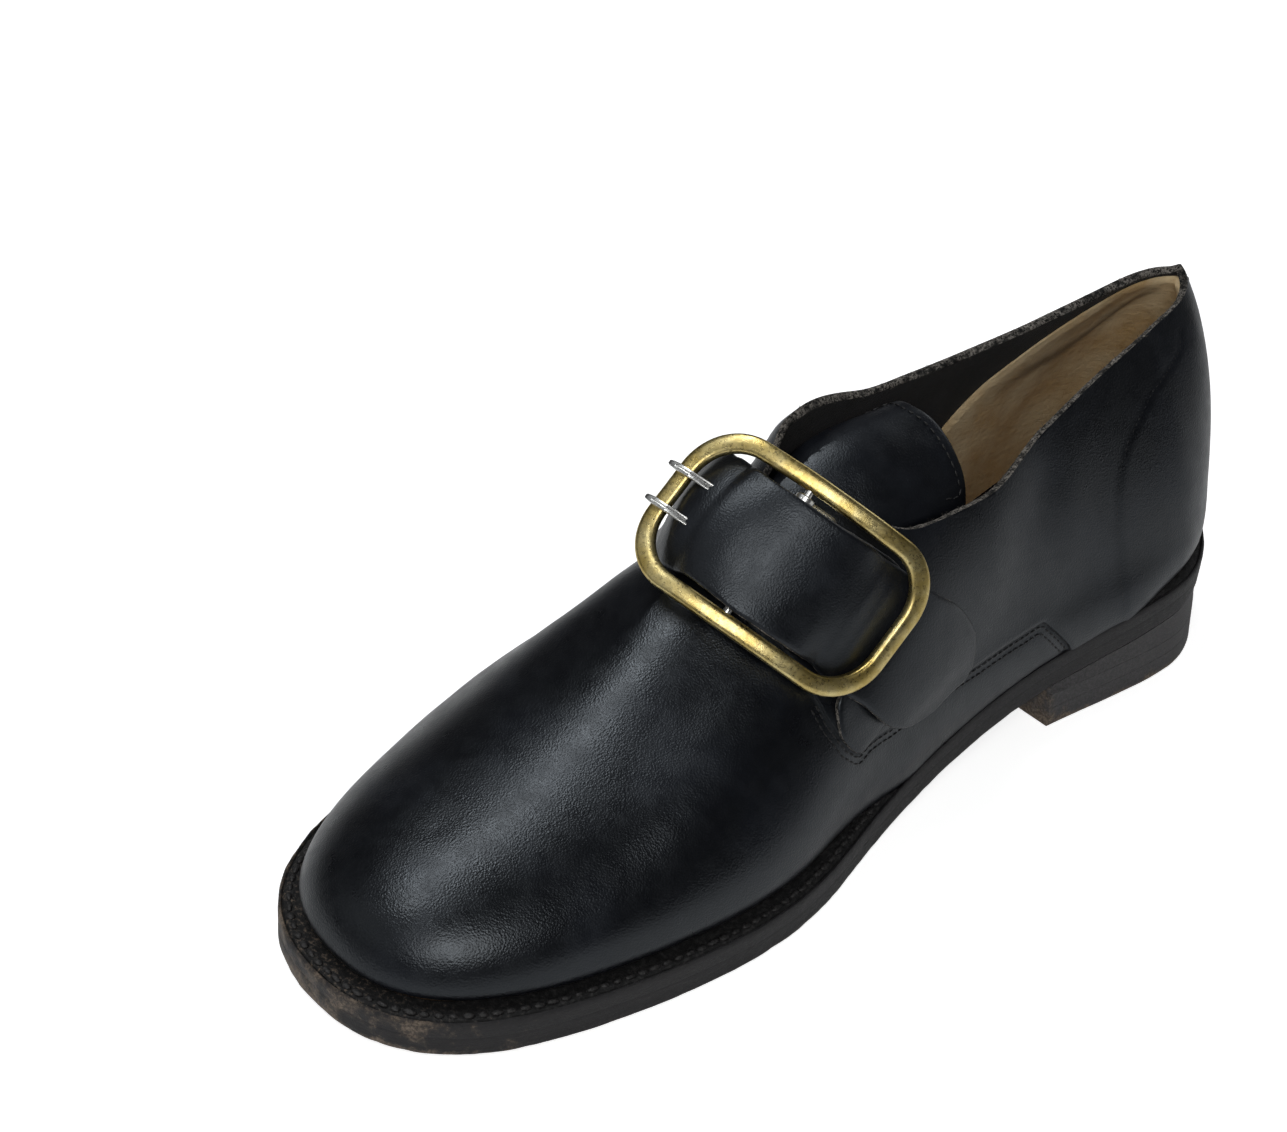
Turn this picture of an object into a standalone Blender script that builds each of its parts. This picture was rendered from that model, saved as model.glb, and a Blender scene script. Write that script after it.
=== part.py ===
# Colonial buckle shoe for the left foot, built the way a shoemaker does: outsole, welt and heel lifts,
# an insole, one hollow leather upper drawn over a last, a tongue, two latchets and a framed buckle.
# Sizes are in millimetres in a shoe frame: x towards the outer side, y from the back of the heel to the
# toe, z up from the floor. The finished pieces are turned into metres with the toe towards -Y.

import bpy
import bmesh
import math
import numpy as np

# Driving dimensions of the sole
LENGTH = 300.0              # outsole, heel back to toe tip
HEEL_CAP = 36.0             # the heel end is rounded over this length
TOE_CAP_START = 229.7       # the toe end is rounded from here to the tip
TOE_SHAPE = 2.25            # exponent of the toe curve, 2 is an ellipse
SHANK_START = 83.5          # heel breast
SHANK_END = 180.0           # the sole touches the floor from here
SPRING_START = 210.0        # the toe starts to lift here
TOE_SPRING = 3.0
BREAST_HEIGHT = 12.9        # underside of the outsole at the heel breast
SEAT_SLOPE = 0.116          # the seat rises towards the back by this much per millimetre
OUTSOLE_THICK = 5.8
WELT_THICK = 4.2
WELT_WIDTH = 8.0
LEDGE = 4.9                 # how far the welt stands out past the upper
TOP_PIECE_THICK = 6.0
LIFT_THICK = 4.4
HEEL_SETBACK = 0.4          # the heel's top edge stands this far inside the sole
HEEL_TAPER = 1.2            # the heel narrows by this much down to the floor
INSOLE_THICK = 4.6
GAP = 0.3                   # clearance between neighbouring pieces

# Half widths of the outsole before its ends are rounded
OUTLINE_COLUMNS = ("fraction", "outer", "inner")
OUTLINE = (
    (0.00, 33.8, 34.0),
    (0.13, 38.1, 34.0),
    (0.27, 34.8, 30.0),
    (0.40, 35.2, 27.0),
    (0.52, 41.3, 34.1),
    (0.63, 50.1, 45.4),
    (0.73, 50.6, 53.4),
    (0.83, 47.0, 49.6),
    (1.00, 48.1, 48.6),
)

# Driving dimensions of the upper
WALL = 2.3
THROAT_Y = 163.0            # the collar opening ends here on the crest

# Sections of the last, heel to toe. along is the share of each half outline at the section's foot,
# spine_y, crest_x and crest_z place its crest, bulges stand out past the feather line, rise and
# shoulder shape the wall, and the two top columns are the heights of the collar edge
SECTION_COLUMNS = ("along", "spine_y", "crest_x", "crest_z", "bulge_outer", "bulge_inner",
                   "rise_outer", "rise_inner", "shoulder_outer", "shoulder_inner", "top_outer", "top_inner")
SECTIONS = (
    (0.000, 20.0, 0.0, 112.0, 3.0, 3.0, 0.86, 0.86, 0.30, 0.30, 104.0, 104.0),
    (0.060, 26.0, 0.0, 109.5, 3.5, 3.5, 0.70, 0.70, 0.20, 0.20, 101.5, 102.0),
    (0.130, 42.0, 0.0, 112.0, 3.0, 3.0, 0.45, 0.45, 0.10, 0.10, 98.5, 98.5),
    (0.200, 60.0, -1.0, 114.0, 2.5, 2.5, 0.36, 0.38, 0.14, 0.18, 94.0, 94.0),
    (0.280, 85.0, -2.5, 108.0, 2.0, 2.5, 0.42, 0.55, 0.34, 0.60, 86.5, 90.0),
    (0.370, 114.0, -4.0, 99.5, 2.5, 3.5, 0.50, 0.76, 0.70, 0.95, 79.0, 91.0),
    (0.430, 137.0, -6.0, 97.0, 3.0, 3.0, 0.52, 0.78, 0.64, 0.95, 78.5, 93.5),
    (0.500, 162.0, -8.0, 85.0, 3.5, 2.5, 0.50, 0.72, 0.52, 0.84, 85.0, 85.0),
    (0.560, 183.0, -9.0, 72.0, 4.0, 3.5, 0.49, 0.66, 0.43, 0.72, 72.0, 72.0),
    (0.640, 207.0, -7.0, 57.5, 3.5, 4.0, 0.52, 0.60, 0.47, 0.62, 57.5, 57.5),
    (0.740, 235.0, -3.0, 44.5, 2.5, 2.5, 0.57, 0.54, 0.54, 0.54, 44.5, 44.5),
    (0.860, 253.0, -1.0, 38.5, 1.5, 1.5, 0.58, 0.54, 0.58, 0.56, 38.5, 38.5),
    (1.000, 261.0, 0.0, 36.0, 0.5, 0.5, 0.60, 0.60, 0.58, 0.58, 36.0, 36.0),
)

# The buckle frame: a rounded rectangle of cast brass, arched along its long side
FRAME_LONG = 73.2
FRAME_SHORT = 43.7
FRAME_CORNER = 15.2
FRAME_WIDE = 4.7            # face width of the brass
FRAME_THICK = 3.0
FRAME_CROWN = 0.3           # the long sides stand out by this much at mid length
FRAME_SKEW = 0.048          # the casting is this much out of square
FRAME_ARCH = 69.0           # radius of the arch, measured at the face
FRAME_CENTRE = (14.2, 172.8, 81.3)
FRAME_TURN = 27.2           # degrees, the long side turned towards the heel
FRAME_DIP = 24.1            # degrees, the long side down towards the outer side
FRAME_TILT = 46.4           # degrees, the short side up towards the ankle

# The steel work on the bar
BAR_PLACE = -5.0            # the bar lies this far from the middle of the frame
BAR_DEPTH = -1.8            # the bar's axis below the frame's face
BAR_RADIUS = 1.1
HUB_BORE = 1.4
HUB_RADIUS = 2.2
HUB_HALF = 8.0              # the fork's hub reaches this far each way
CHAPE_RADIUS = 2.6          # its rings stand a little prouder than the hub
CHAPE_END = 16.0            # the chape's rings reach this far
CHAPE_PLATE = (-9.0, 6.0)   # its plate lies under the bar between these places
CHAPE_PLATE_TOP = -4.3
CHAPE_PLATE_THICK = 1.0
PRONG_PLACE = 5.0           # each prong lies this far from the middle
PRONG_WIDE = 2.0
PRONG_THICK = 1.3
PRONG_SLOT = 0.35           # clearance of the prongs in the strap

# How each prong runs from the hub to the far end of the frame: place along the frame, height of its
# middle above the frame's face
PRONG_COLUMNS = ("place", "height")
PRONG_PATH = (
    (-6.5, -1.7),
    (-10.0, -1.5),
    (-15.0, -1.1),
    (-20.0, -0.9),
    (-24.0, -0.4),
    (-28.0, 0.4),
    (-32.0, 1.0),
    (-38.0, 1.0),
)

# The two latchets. Each row is one line across the strap: where its rear and front edges lie on the
# last (along, across), how far the outer face stands off the last there, and how much further in between
STRAP_THICK = 2.2
STRAP_COLUMNS = ("rear_along", "rear_across", "rear_lift", "front_along", "front_across", "front_lift", "crown")
LATCHET_OVER = (
    (0.470, -0.66, 2.6, 0.590, -0.66, 2.6, 0.0),
    (0.478, -0.50, 2.9, 0.588, -0.50, 2.7, 0.0),
    (0.486, -0.36, 4.5, 0.584, -0.34, 3.0, 0.4),
    (0.494, -0.24, 7.8, 0.580, -0.24, 3.1, 1.2),
    (0.498, -0.17, 10.2, 0.576, -0.16, 3.4, 2.0),
    (0.498, -0.10, 11.1, 0.576, -0.09, 4.7, 3.1),
    (0.498, -0.04, 11.6, 0.574, -0.02, 5.5, 4.6),
    (0.496, 0.00, 11.5, 0.574, 0.02, 6.0, 5.0),
    (0.498, 0.03, 13.7, 0.574, 0.07, 8.9, 3.1),
    (0.500, 0.10, 15.5, 0.575, 0.15, 11.3, 1.0),
    (0.498, 0.17, 16.2, 0.575, 0.22, 12.0, 0.0),
    (0.492, 0.26, 15.3, 0.570, 0.32, 10.8, 0.0),
    (0.482, 0.34, 12.5, 0.560, 0.41, 7.7, 1.0),
    (0.474, 0.40, 8.6, 0.551, 0.47, 3.6, 3.1),
    (0.468, 0.44, 7.7, 0.548, 0.52, 2.6, 2.2),
    (0.460, 0.50, 7.8, 0.540, 0.58, 2.5, 0.0),
    (0.446, 0.57, 7.0, 0.530, 0.64, 2.7, 0.7),
    (0.427, 0.64, 5.9, 0.522, 0.69, 3.1, 0.9),
    (0.415, 0.70, 5.4, 0.513, 0.74, 3.4, 0.9),
    (0.409, 0.75, 5.3, 0.502, 0.78, 3.8, 0.7),
    (0.410, 0.80, 5.2, 0.484, 0.815, 4.2, 0.2),
    (0.421, 0.835, 5.2, 0.458, 0.838, 4.7, 0.0),
)
LATCHET_UNDER = (
    (0.494, 0.18, 7.1, 0.520, 0.21, 5.6, 0.0),
    (0.486, 0.26, 6.8, 0.514, 0.29, 5.2, 0.0),
    (0.478, 0.34, 6.2, 0.508, 0.38, 4.5, 0.0),
    (0.468, 0.42, 5.3, 0.500, 0.46, 3.6, 0.0),
    (0.460, 0.50, 4.6, 0.492, 0.54, 2.8, 0.0),
    (0.446, 0.58, 3.5, 0.486, 0.61, 2.6, 0.0),
    (0.434, 0.66, 2.6, 0.480, 0.68, 2.6, 0.0),
    (0.428, 0.74, 2.6, 0.470, 0.75, 2.6, 0.0),
)

# The tongue lies under the vamp and sags away from the last towards its free end
BULGE_PULL = 2.2            # how far a wall's control point leads its bulge
TONGUE_THICK = 2.0
TONGUE_ROOT = 172.0         # its hidden end, on the crest
TONGUE_END = 113.0          # its cut end, on the crest
TONGUE_OUTER = (26.0, 40.0)  # reach to the outer side at the hidden end and at the cut end
TONGUE_INNER = (25.0, 16.0)  # reach to the inner side at the same two ends
TONGUE_CLEAR = 1.3          # below the inside of the vamp
TONGUE_SAG = 2.0            # its cut end lies this much lower


def steady_curve(knots, values):
    # Monotone cubic through the knots: no overshoot between the rows of a table
    knots = np.asarray(knots, float)
    values = np.asarray(values, float)
    step = np.diff(knots)
    slope = np.diff(values) / step
    tangent = np.zeros_like(values)
    for i in range(1, len(values) - 1):
        if slope[i - 1] * slope[i] > 0:
            w1 = 2 * step[i] + step[i - 1]
            w2 = step[i] + 2 * step[i - 1]
            tangent[i] = (w1 + w2) / (w1 / slope[i - 1] + w2 / slope[i])
    tangent[0] = slope[0]
    tangent[-1] = slope[-1]

    def at(x):
        x = np.clip(np.asarray(x, float), knots[0], knots[-1])
        i = np.clip(np.searchsorted(knots, x) - 1, 0, len(step) - 1)
        h = step[i]
        u = (x - knots[i]) / h
        return (values[i] * (1 + 2 * u) * (1 - u) ** 2 + tangent[i] * h * u * (1 - u) ** 2
                + values[i + 1] * u * u * (3 - 2 * u) - tangent[i + 1] * h * u * u * (1 - u))
    return at


def smooth_curve(knots, values):
    # Natural cubic spline through the knots
    knots = np.asarray(knots, float)
    values = np.asarray(values, float)
    n = len(knots)
    step = np.diff(knots)
    matrix = np.eye(n)
    right = np.zeros(n)
    for i in range(1, n - 1):
        matrix[i, i - 1:i + 2] = step[i - 1], 2 * (step[i - 1] + step[i]), step[i]
        right[i] = 6 * ((values[i + 1] - values[i]) / step[i] - (values[i] - values[i - 1]) / step[i - 1])
    second = np.linalg.solve(matrix, right)

    def at(x):
        x = np.asarray(x, float)
        i = np.clip(np.searchsorted(knots, x) - 1, 0, n - 2)
        a = knots[i + 1] - x
        b = x - knots[i]
        h = step[i]
        return (second[i] * a ** 3 + second[i + 1] * b ** 3) / (6 * h) + (
            (values[i] / h - second[i] * h / 6) * a + (values[i + 1] / h - second[i + 1] * h / 6) * b)
    return at


def table_curves(columns, rows, curve):
    data = np.array(rows, float)
    return {name: curve(data[:, 0], data[:, k]) for k, name in enumerate(columns)}


WIDTHS = table_curves(OUTLINE_COLUMNS, OUTLINE, smooth_curve)
SHAPE = table_curves(SECTION_COLUMNS, SECTIONS, steady_curve)


def end_caps(y):
    # 1 along the sole, rounding off to 0 at the heel back and the toe tip
    heel = np.clip((HEEL_CAP - y) / HEEL_CAP, 0, 1)
    toe = np.clip((y - TOE_CAP_START) / (LENGTH - TOE_CAP_START), 0, 1)
    return np.sqrt(1 - heel ** 2) * (1 - toe ** TOE_SHAPE) ** (1 / TOE_SHAPE)


def half_outline(side, count=241):
    # One side of the sole outline from the heel back to the toe tip, side 1 outer or -1 inner
    y = LENGTH * 0.5 * (1 - np.cos(np.pi * np.linspace(0, 1, count)))
    name = "outer" if side > 0 else "inner"
    x = side * WIDTHS[name](y / LENGTH) * end_caps(y)
    return np.stack([x, y], 1)


def inset_half(side, inset):
    # The same side moved inwards by inset, ending on the line x = 0 at both ends
    line = half_outline(side)
    tangent = np.gradient(line, axis=0)
    tangent[0] = (side, 0)
    tangent[-1] = (-side, 0)
    tangent /= np.hypot(tangent[:, 0], tangent[:, 1])[:, None]
    normal = np.stack([tangent[:, 1], -tangent[:, 0]], 1) * side
    moved = line - normal * inset
    moved[0, 0] = 0.0
    moved[-1, 0] = 0.0
    return moved


def evenly(line, count):
    # Points at equal steps along a line, or at the given shares of its length
    run = np.concatenate([[0], np.cumsum(np.hypot(*np.diff(line, axis=0).T))])
    shares = np.linspace(0, 1, count) if np.isscalar(count) else np.asarray(count)
    target = shares * run[-1]
    return np.stack([np.interp(target, run, line[:, k]) for k in range(line.shape[1])], 1)


def sole_under(y):
    # Height of the outsole's underside: seat slope, shank curve, flat tread, toe spring
    y = np.asarray(y, float)
    seat = BREAST_HEIGHT + SEAT_SLOPE * (SHANK_START - y)
    run = SHANK_END - SHANK_START
    u = np.clip((y - SHANK_START) / run, 0, 1)
    shank = BREAST_HEIGHT * (1 + 2 * u) * (1 - u) ** 2 - SEAT_SLOPE * run * u * (1 - u) ** 2
    spring = TOE_SPRING * np.clip((y - SPRING_START) / (LENGTH - SPRING_START), 0, None) ** 2
    return np.where(y < SHANK_START, seat, np.where(y < SHANK_END, shank, spring))


def welt_under(y):
    return sole_under(y) + OUTSOLE_THICK + GAP


def welt_top(y):
    return welt_under(y) + WELT_THICK


FOOT = {side: inset_half(side, LEDGE) for side in (1, -1)}


def section_at(along, side):
    # Control points of the wall curve from the feather line to the crest
    foot = evenly(FOOT[side], along)
    base = np.column_stack([foot, welt_top(foot[:, 1]) + GAP])
    crest = np.column_stack([SHAPE["crest_x"](along), SHAPE["spine_y"](along), SHAPE["crest_z"](along)])
    across = crest - base
    across[:, 2] = 0
    reach = np.linalg.norm(across, axis=1)[:, None]
    inward = across / np.maximum(reach, 1e-6)
    height = (crest[:, 2] - base[:, 2])[:, None]
    up = np.array([0.0, 0.0, 1.0])
    name = "outer" if side > 0 else "inner"
    bulge, rise, shoulder = (SHAPE[key + name](along)[:, None] for key in ("bulge_", "rise_", "shoulder_"))
    wall = base - inward * bulge * BULGE_PULL + up * height * rise
    brow = crest - inward * reach * shoulder
    return base, wall, brow, crest


def wall_points(along, side, share):
    # Points on the last: share 0 is the feather line and 1 the crest; along and share go together
    base, wall, brow, crest = section_at(along, side)
    t = share[:, None]
    return (base * (1 - t) ** 3 + 3 * wall * t * (1 - t) ** 2 + 3 * brow * t * t * (1 - t) + crest * t ** 3)


def on_last(along, across):
    # A point of the last: across runs from -1, inner feather line, over the crest at 0 to 1, outer
    along = np.clip(np.asarray(along, float), 0, 1)
    across = np.asarray(across, float)
    outer = wall_points(along, 1, 1 - np.abs(across))
    inner = wall_points(along, -1, 1 - np.abs(across))
    return np.where(across[:, None] >= 0, outer, inner)


def skin(along, across, lift=0.0):
    # The same point raised by lift off the last, along its normal
    step = 0.004
    along = np.clip(np.asarray(along, float), step, 1 - step)
    across = np.asarray(across, float)
    forward = on_last(along + step, across) - on_last(along - step, across)
    sideways = on_last(along, across + step) - on_last(along, across - step)
    normal = np.cross(sideways, forward)
    normal /= np.linalg.norm(normal, axis=1)[:, None]
    return on_last(along, across) + normal * np.reshape(lift, (-1, 1))


def collar_share(along, side):
    # How far up each section the leather reaches
    name = "top_outer" if side > 0 else "top_inner"
    steps = np.linspace(0, 1, 101)
    result = np.ones(len(along))
    top = SHAPE[name](along)
    throat = float(np.interp(THROAT_Y, SHAPE["spine_y"](np.linspace(0, 1, 401)), np.linspace(0, 1, 401)))
    for i, a in enumerate(along):
        if a < throat - 1e-6:
            z = wall_points(np.full(101, a), side, steps)[:, 2]
            result[i] = np.interp(top[i], z, steps)
    return result


def frame_axes():
    # Directions of the frame's long side, short side and face
    turn, dip, tilt = (math.radians(a) for a in (FRAME_TURN, FRAME_DIP, FRAME_TILT))
    long_side = np.array([math.cos(dip) * math.cos(turn), -math.cos(dip) * math.sin(turn), -math.sin(dip)])
    level = np.array([-math.sin(turn), -math.cos(turn), 0.0])
    steep = np.array([math.sin(dip) * math.cos(turn), -math.sin(dip) * math.sin(turn), math.cos(dip)])
    short_side = level * math.cos(tilt) + steep * math.sin(tilt)
    face = steep * math.cos(tilt) - level * math.sin(tilt)
    return long_side, short_side, face


def on_frame(x, y, z):
    # A point in the frame's own sizes: x along its arch, y across it, z above its face
    long_side, short_side, face = frame_axes()
    x, y, z = (np.reshape(np.asarray(v, float), (-1, 1)) for v in np.broadcast_arrays(x, y, z))
    turn = x / FRAME_ARCH
    radius = FRAME_ARCH + z
    return (np.array(FRAME_CENTRE) + long_side * radius * np.sin(turn) + short_side * y
            + face * (radius * np.cos(turn) - FRAME_ARCH))


def joined_rows(columns, rows, count):
    # Smooth in-between rows of a table whose first column is not its knot
    knots = np.linspace(0, 1, len(rows))
    data = np.array(rows, float)
    at = np.linspace(0, 1, count)
    return {name: steady_curve(knots, data[:, k])(at) for k, name in enumerate(columns)}


def grid_faces(rows, columns, flip=False, wrap_rows=False, wrap_columns=False):
    # Quads of a grid of points kept row by row
    faces = []
    for i in range(rows if wrap_rows else rows - 1):
        for j in range(columns if wrap_columns else columns - 1):
            a = i * columns + j
            b = i * columns + (j + 1) % columns
            c = ((i + 1) % rows) * columns + (j + 1) % columns
            d = ((i + 1) % rows) * columns + j
            faces.append((a, d, c, b) if flip else (a, b, c, d))
    return faces


def to_world(points):
    points = np.asarray(points, float)
    return np.column_stack([points[:, 0], LENGTH / 2 - points[:, 1], points[:, 2]]) / 1000.0


def new_material(name, colour, roughness, metallic=0.0):
    material = bpy.data.materials.new(name)
    material.use_nodes = True
    shader = material.node_tree.nodes["Principled BSDF"]
    shader.inputs["Base Color"].default_value = (*colour, 1.0)
    shader.inputs["Roughness"].default_value = roughness
    shader.inputs["Metallic"].default_value = metallic
    return material


def new_piece(name, points, faces, material, collection, closed=True, sharp=45.0):
    # One mesh object from points in the shoe frame. A closed body gets its faces turned outwards
    mesh = bpy.data.meshes.new(name)
    mesh.from_pydata([tuple(p) for p in to_world(points)], [], faces)
    body = bmesh.new()
    body.from_mesh(mesh)
    bmesh.ops.remove_doubles(body, verts=body.verts, dist=0.00001)
    if closed:
        bmesh.ops.recalc_face_normals(body, faces=body.faces)
    body.to_mesh(mesh)
    body.free()
    mesh.shade_smooth()
    mesh.set_sharp_from_angle(angle=math.radians(sharp))
    mesh.materials.append(material)
    piece = bpy.data.objects.new(name, mesh)
    collection.objects.link(piece)
    return piece


def add_wall(piece, thickness):
    # Leather of the given thickness, grown inwards from the outer face
    wall = piece.modifiers.new("wall", "SOLIDIFY")
    wall.thickness = thickness / 1000.0
    wall.offset = -1.0


def cut_or_join(piece, other, operation):
    change = piece.modifiers.new(operation.lower(), "BOOLEAN")
    change.operation = operation
    change.object = other
    change.solver = "EXACT"


def as_cutter(piece):
    piece.hide_render = True
    piece.display_type = "WIRE"
    return piece


def sole_sides(inset, count, end=LENGTH):
    # Both sides of an inset sole outline at the same places, heel back to end
    outer = inset_half(1, inset)
    inner = inset_half(-1, inset)
    first = max(outer[0, 1], inner[0, 1])
    last = min(outer[-1, 1], inner[-1, 1])
    if end < last:
        y = first + (end - first) * (1 - np.cos(0.5 * np.pi * np.linspace(0, 1, count)))
    else:
        y = first + (last - first) * 0.5 * (1 - np.cos(np.pi * np.linspace(0, 1, count)))
    return y, np.interp(y, outer[:, 1], outer[:, 0]), np.interp(y, inner[:, 1], inner[:, 0])


def sole_slab(name, low_inset, high_inset, low, high, count, material, collection, end=LENGTH):
    # A flat-sided layer of the bottom, between two heights given as functions of y
    rows = []
    for inset, height in ((low_inset, low), (high_inset, high)):
        y, outer, inner = sole_sides(inset, count, end)
        z = height(y)
        rows.append(np.stack([np.column_stack([outer, y, z]), np.column_stack([inner, y, z])], 1))
    low_row, high_row = rows
    points = np.concatenate([low_row, high_row[:, ::-1]], 1).reshape(-1, 3)
    faces = grid_faces(count, 4, wrap_columns=True)
    faces.append((0, 1, 2, 3))
    last = (count - 1) * 4
    faces.append((last, last + 3, last + 2, last + 1))
    return new_piece(name, points, faces, material, collection)


def build_heel(material, collection):
    # Top piece, one lift and the wedge that meets the sloping seat, all cut off flat at the breast
    full = BREAST_HEIGHT + SEAT_SLOPE * SHANK_START

    def inset(z):
        return HEEL_SETBACK + HEEL_TAPER * (1 - z / full)

    lift_low = TOP_PIECE_THICK + GAP
    lift_high = lift_low + LIFT_THICK
    wedge_low = lift_high + GAP

    def level(z):
        return lambda y: np.full_like(y, z)

    sole_slab("heel_top_piece", inset(0), inset(TOP_PIECE_THICK), level(0.0), level(TOP_PIECE_THICK),
              24, material, collection, SHANK_START)
    sole_slab("heel_lift", inset(lift_low), inset(lift_high), level(lift_low), level(lift_high),
              24, material, collection, SHANK_START)
    sole_slab("heel_wedge", inset(wedge_low), inset(full), level(wedge_low), lambda y: sole_under(y) - GAP,
              24, material, collection, SHANK_START)


def build_bottom(collection):
    edge = new_material("blackened_sole_leather", (0.012, 0.011, 0.011), 0.6)
    tan = new_material("tan_insole_leather", (0.12, 0.06, 0.03), 0.7)
    sole_slab("outsole", 0.0, 0.0, sole_under, lambda y: sole_under(y) + OUTSOLE_THICK, 49, edge, collection)
    build_heel(edge, collection)
    sole_slab("insole", WELT_WIDTH + GAP, WELT_WIDTH + GAP, welt_under,
              lambda y: welt_under(y) + INSOLE_THICK, 37, tan, collection)

    count = 49
    rows = []
    for side in (1, -1):
        for inset, height in ((0, welt_under), (0, welt_top), (WELT_WIDTH, welt_top), (WELT_WIDTH, welt_under)):
            line = evenly(inset_half(side, inset), count)
            rows.append(np.column_stack([line, height(line[:, 1])]))
    outer = np.stack(rows[:4], 1)
    inner = np.stack(rows[4:], 1)[::-1][1:-1]
    ring = np.concatenate([outer, inner])
    faces = grid_faces(len(ring), 4, wrap_rows=True, wrap_columns=True)
    new_piece("welt", ring.reshape(-1, 3), faces, edge, collection)


def build_upper(material, collection):
    # One shell: both sides share the back seam, the toe and, in front of the throat, the crest
    stations, rows = 57, 12
    along = np.linspace(0, 1, stations)
    points = []
    faces = []
    for side in (1, -1):
        top = collar_share(along, side)
        rise = np.linspace(0, 1, rows)
        start = len(points)
        for share in rise:
            points.extend(wall_points(along, side, share * top))
        for a, b, c, d in grid_faces(rows, stations, flip=side > 0):
            faces.append((a + start, b + start, c + start, d + start))
    upper = new_piece("upper", points, faces, material, collection, closed=False)
    add_wall(upper, WALL)


def crest_across(along, side, distance):
    # The across value that lies this far from the crest, measured over the last
    result = []
    share = np.linspace(1, 0.2, 60)
    for a, far in zip(along, distance):
        line = wall_points(np.full(60, a), side, share)
        run = np.concatenate([[0], np.cumsum(np.linalg.norm(np.diff(line, axis=0), axis=1))])
        result.append(side * (1 - np.interp(far, run, share)))
    return np.array(result)


def build_tongue(material, collection):
    rows, columns = 20, 11
    spine = SHAPE["spine_y"](np.linspace(0, 1, 801))
    ends = np.interp([TONGUE_ROOT, TONGUE_END], spine, np.linspace(0, 1, 801))
    share = np.linspace(0, 1, rows)
    along = ends[0] + (ends[1] - ends[0]) * share
    outer_half = TONGUE_OUTER[0] + (TONGUE_OUTER[1] - TONGUE_OUTER[0]) * share
    inner_half = TONGUE_INNER[0] + (TONGUE_INNER[1] - TONGUE_INNER[0]) * share
    lift = -(WALL + TONGUE_CLEAR) - TONGUE_SAG * share ** 1.5
    points = []
    outer = crest_across(along, 1, outer_half)
    inner = crest_across(along, -1, inner_half)
    for j in range(columns):
        mix = j / (columns - 1)
        points.append(skin(along, inner * (1 - mix) + outer * mix, lift))
    points = np.stack(points, 1).reshape(-1, 3)
    faces = grid_faces(rows, columns, flip=False)
    tongue = new_piece("tongue", points, faces, material, collection, closed=False)
    add_wall(tongue, TONGUE_THICK)


def strap_surface(rows, stations, columns):
    # Points of a latchet's outer face, station by station from its rear edge to its front edge
    line = joined_rows(STRAP_COLUMNS, rows, stations)
    points = []
    for j in range(columns):
        mix = j / (columns - 1)
        along = line["rear_along"] * (1 - mix) + line["front_along"] * mix
        across = line["rear_across"] * (1 - mix) + line["front_across"] * mix
        lift = line["rear_lift"] * (1 - mix) + line["front_lift"] * mix + line["crown"] * 4 * mix * (1 - mix)
        points.append(skin(along, across, lift))
    return np.stack(points, 1).reshape(-1, 3)


def build_latchet(name, rows, stations, material, collection):
    columns = 7
    faces = grid_faces(stations, columns)
    latchet = new_piece(name, strap_surface(rows, stations, columns), faces, material, collection, closed=False)
    add_wall(latchet, STRAP_THICK)
    return latchet


def rounded_rectangle(long_size, short_size, corner):
    # Outline with round corners, the same point count for any size
    reach = np.array([long_size / 2 - corner, short_size / 2 - corner])
    quarters = ((1, 1), (-1, 1), (-1, -1), (1, -1))
    side_points = (8, 4, 8, 4)
    points = []
    for turn, sign in enumerate(quarters):
        for angle in np.radians(90 * turn + np.linspace(0, 90, 8)):
            points.append(reach * sign + corner * np.array([math.cos(angle), math.sin(angle)]))
        start = points[-1]
        following = quarters[(turn + 1) % 4]
        quarter_turn = math.radians(90 * (turn + 1))
        end = reach * following + corner * np.array([math.cos(quarter_turn), math.sin(quarter_turn)])
        for k in range(1, side_points[turn]):
            points.append(start + (end - start) * k / side_points[turn])
    return np.array(points)


def frame_outline(inset):
    # The frame's outline moved in by inset, with its crowned long sides and its skew
    half_long = FRAME_LONG / 2 - inset
    half_short = FRAME_SHORT / 2 - inset
    line = rounded_rectangle(2 * half_long, 2 * half_short, FRAME_CORNER - 0.8 * inset)
    crown = FRAME_CROWN * (1 - (line[:, 0] / half_long) ** 2) * line[:, 1] / half_short
    return np.column_stack([line[:, 0] + FRAME_SKEW * line[:, 1], line[:, 1] + crown])


def build_frame(material, collection):
    # Section of the brass: share of the way from the outer to the inner outline, height above the face
    section = ((0.0, -0.6), (0.18, 0.0), (0.82, 0.0), (1.0, -0.6), (1.0, -2.5), (0.86, -3.0), (0.14, -3.0), (0.0, -2.5))
    outer = frame_outline(0.0)
    inner = frame_outline(FRAME_WIDE)
    points = []
    for share, height in section:
        line = outer * (1 - share) + inner * share
        points.append(on_frame(line[:, 0], line[:, 1], height * FRAME_THICK / 3.0))
    points = np.stack(points, 1).reshape(-1, 3)
    faces = grid_faces(len(outer), len(section), wrap_rows=True, wrap_columns=True)
    new_piece("buckle_frame", points, faces, material, collection, sharp=60.0)


def bar_tube(name, start, end, bore, radius, material, collection):
    # A tube around the bar's axis between two places across the frame, or a rod where bore is 0
    count = 20
    angle = np.linspace(0, 2 * np.pi, count, endpoint=False)
    rings = ((bore, start), (radius, start), (radius, end), (bore, end)) if bore else ((radius, start), (radius, end))
    points = []
    for size, place in rings:
        points.append(on_frame(BAR_PLACE + size * np.cos(angle), place, BAR_DEPTH + size * np.sin(angle)))
    points = np.stack(points, 1).reshape(-1, 3)
    faces = grid_faces(count, len(rings), wrap_rows=True, wrap_columns=bool(bore))
    if not bore:
        faces.append(tuple(range(0, 2 * count, 2)))
        faces.append(tuple(range(1, 2 * count, 2)))
    return new_piece(name, points, faces, material, collection)


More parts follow.
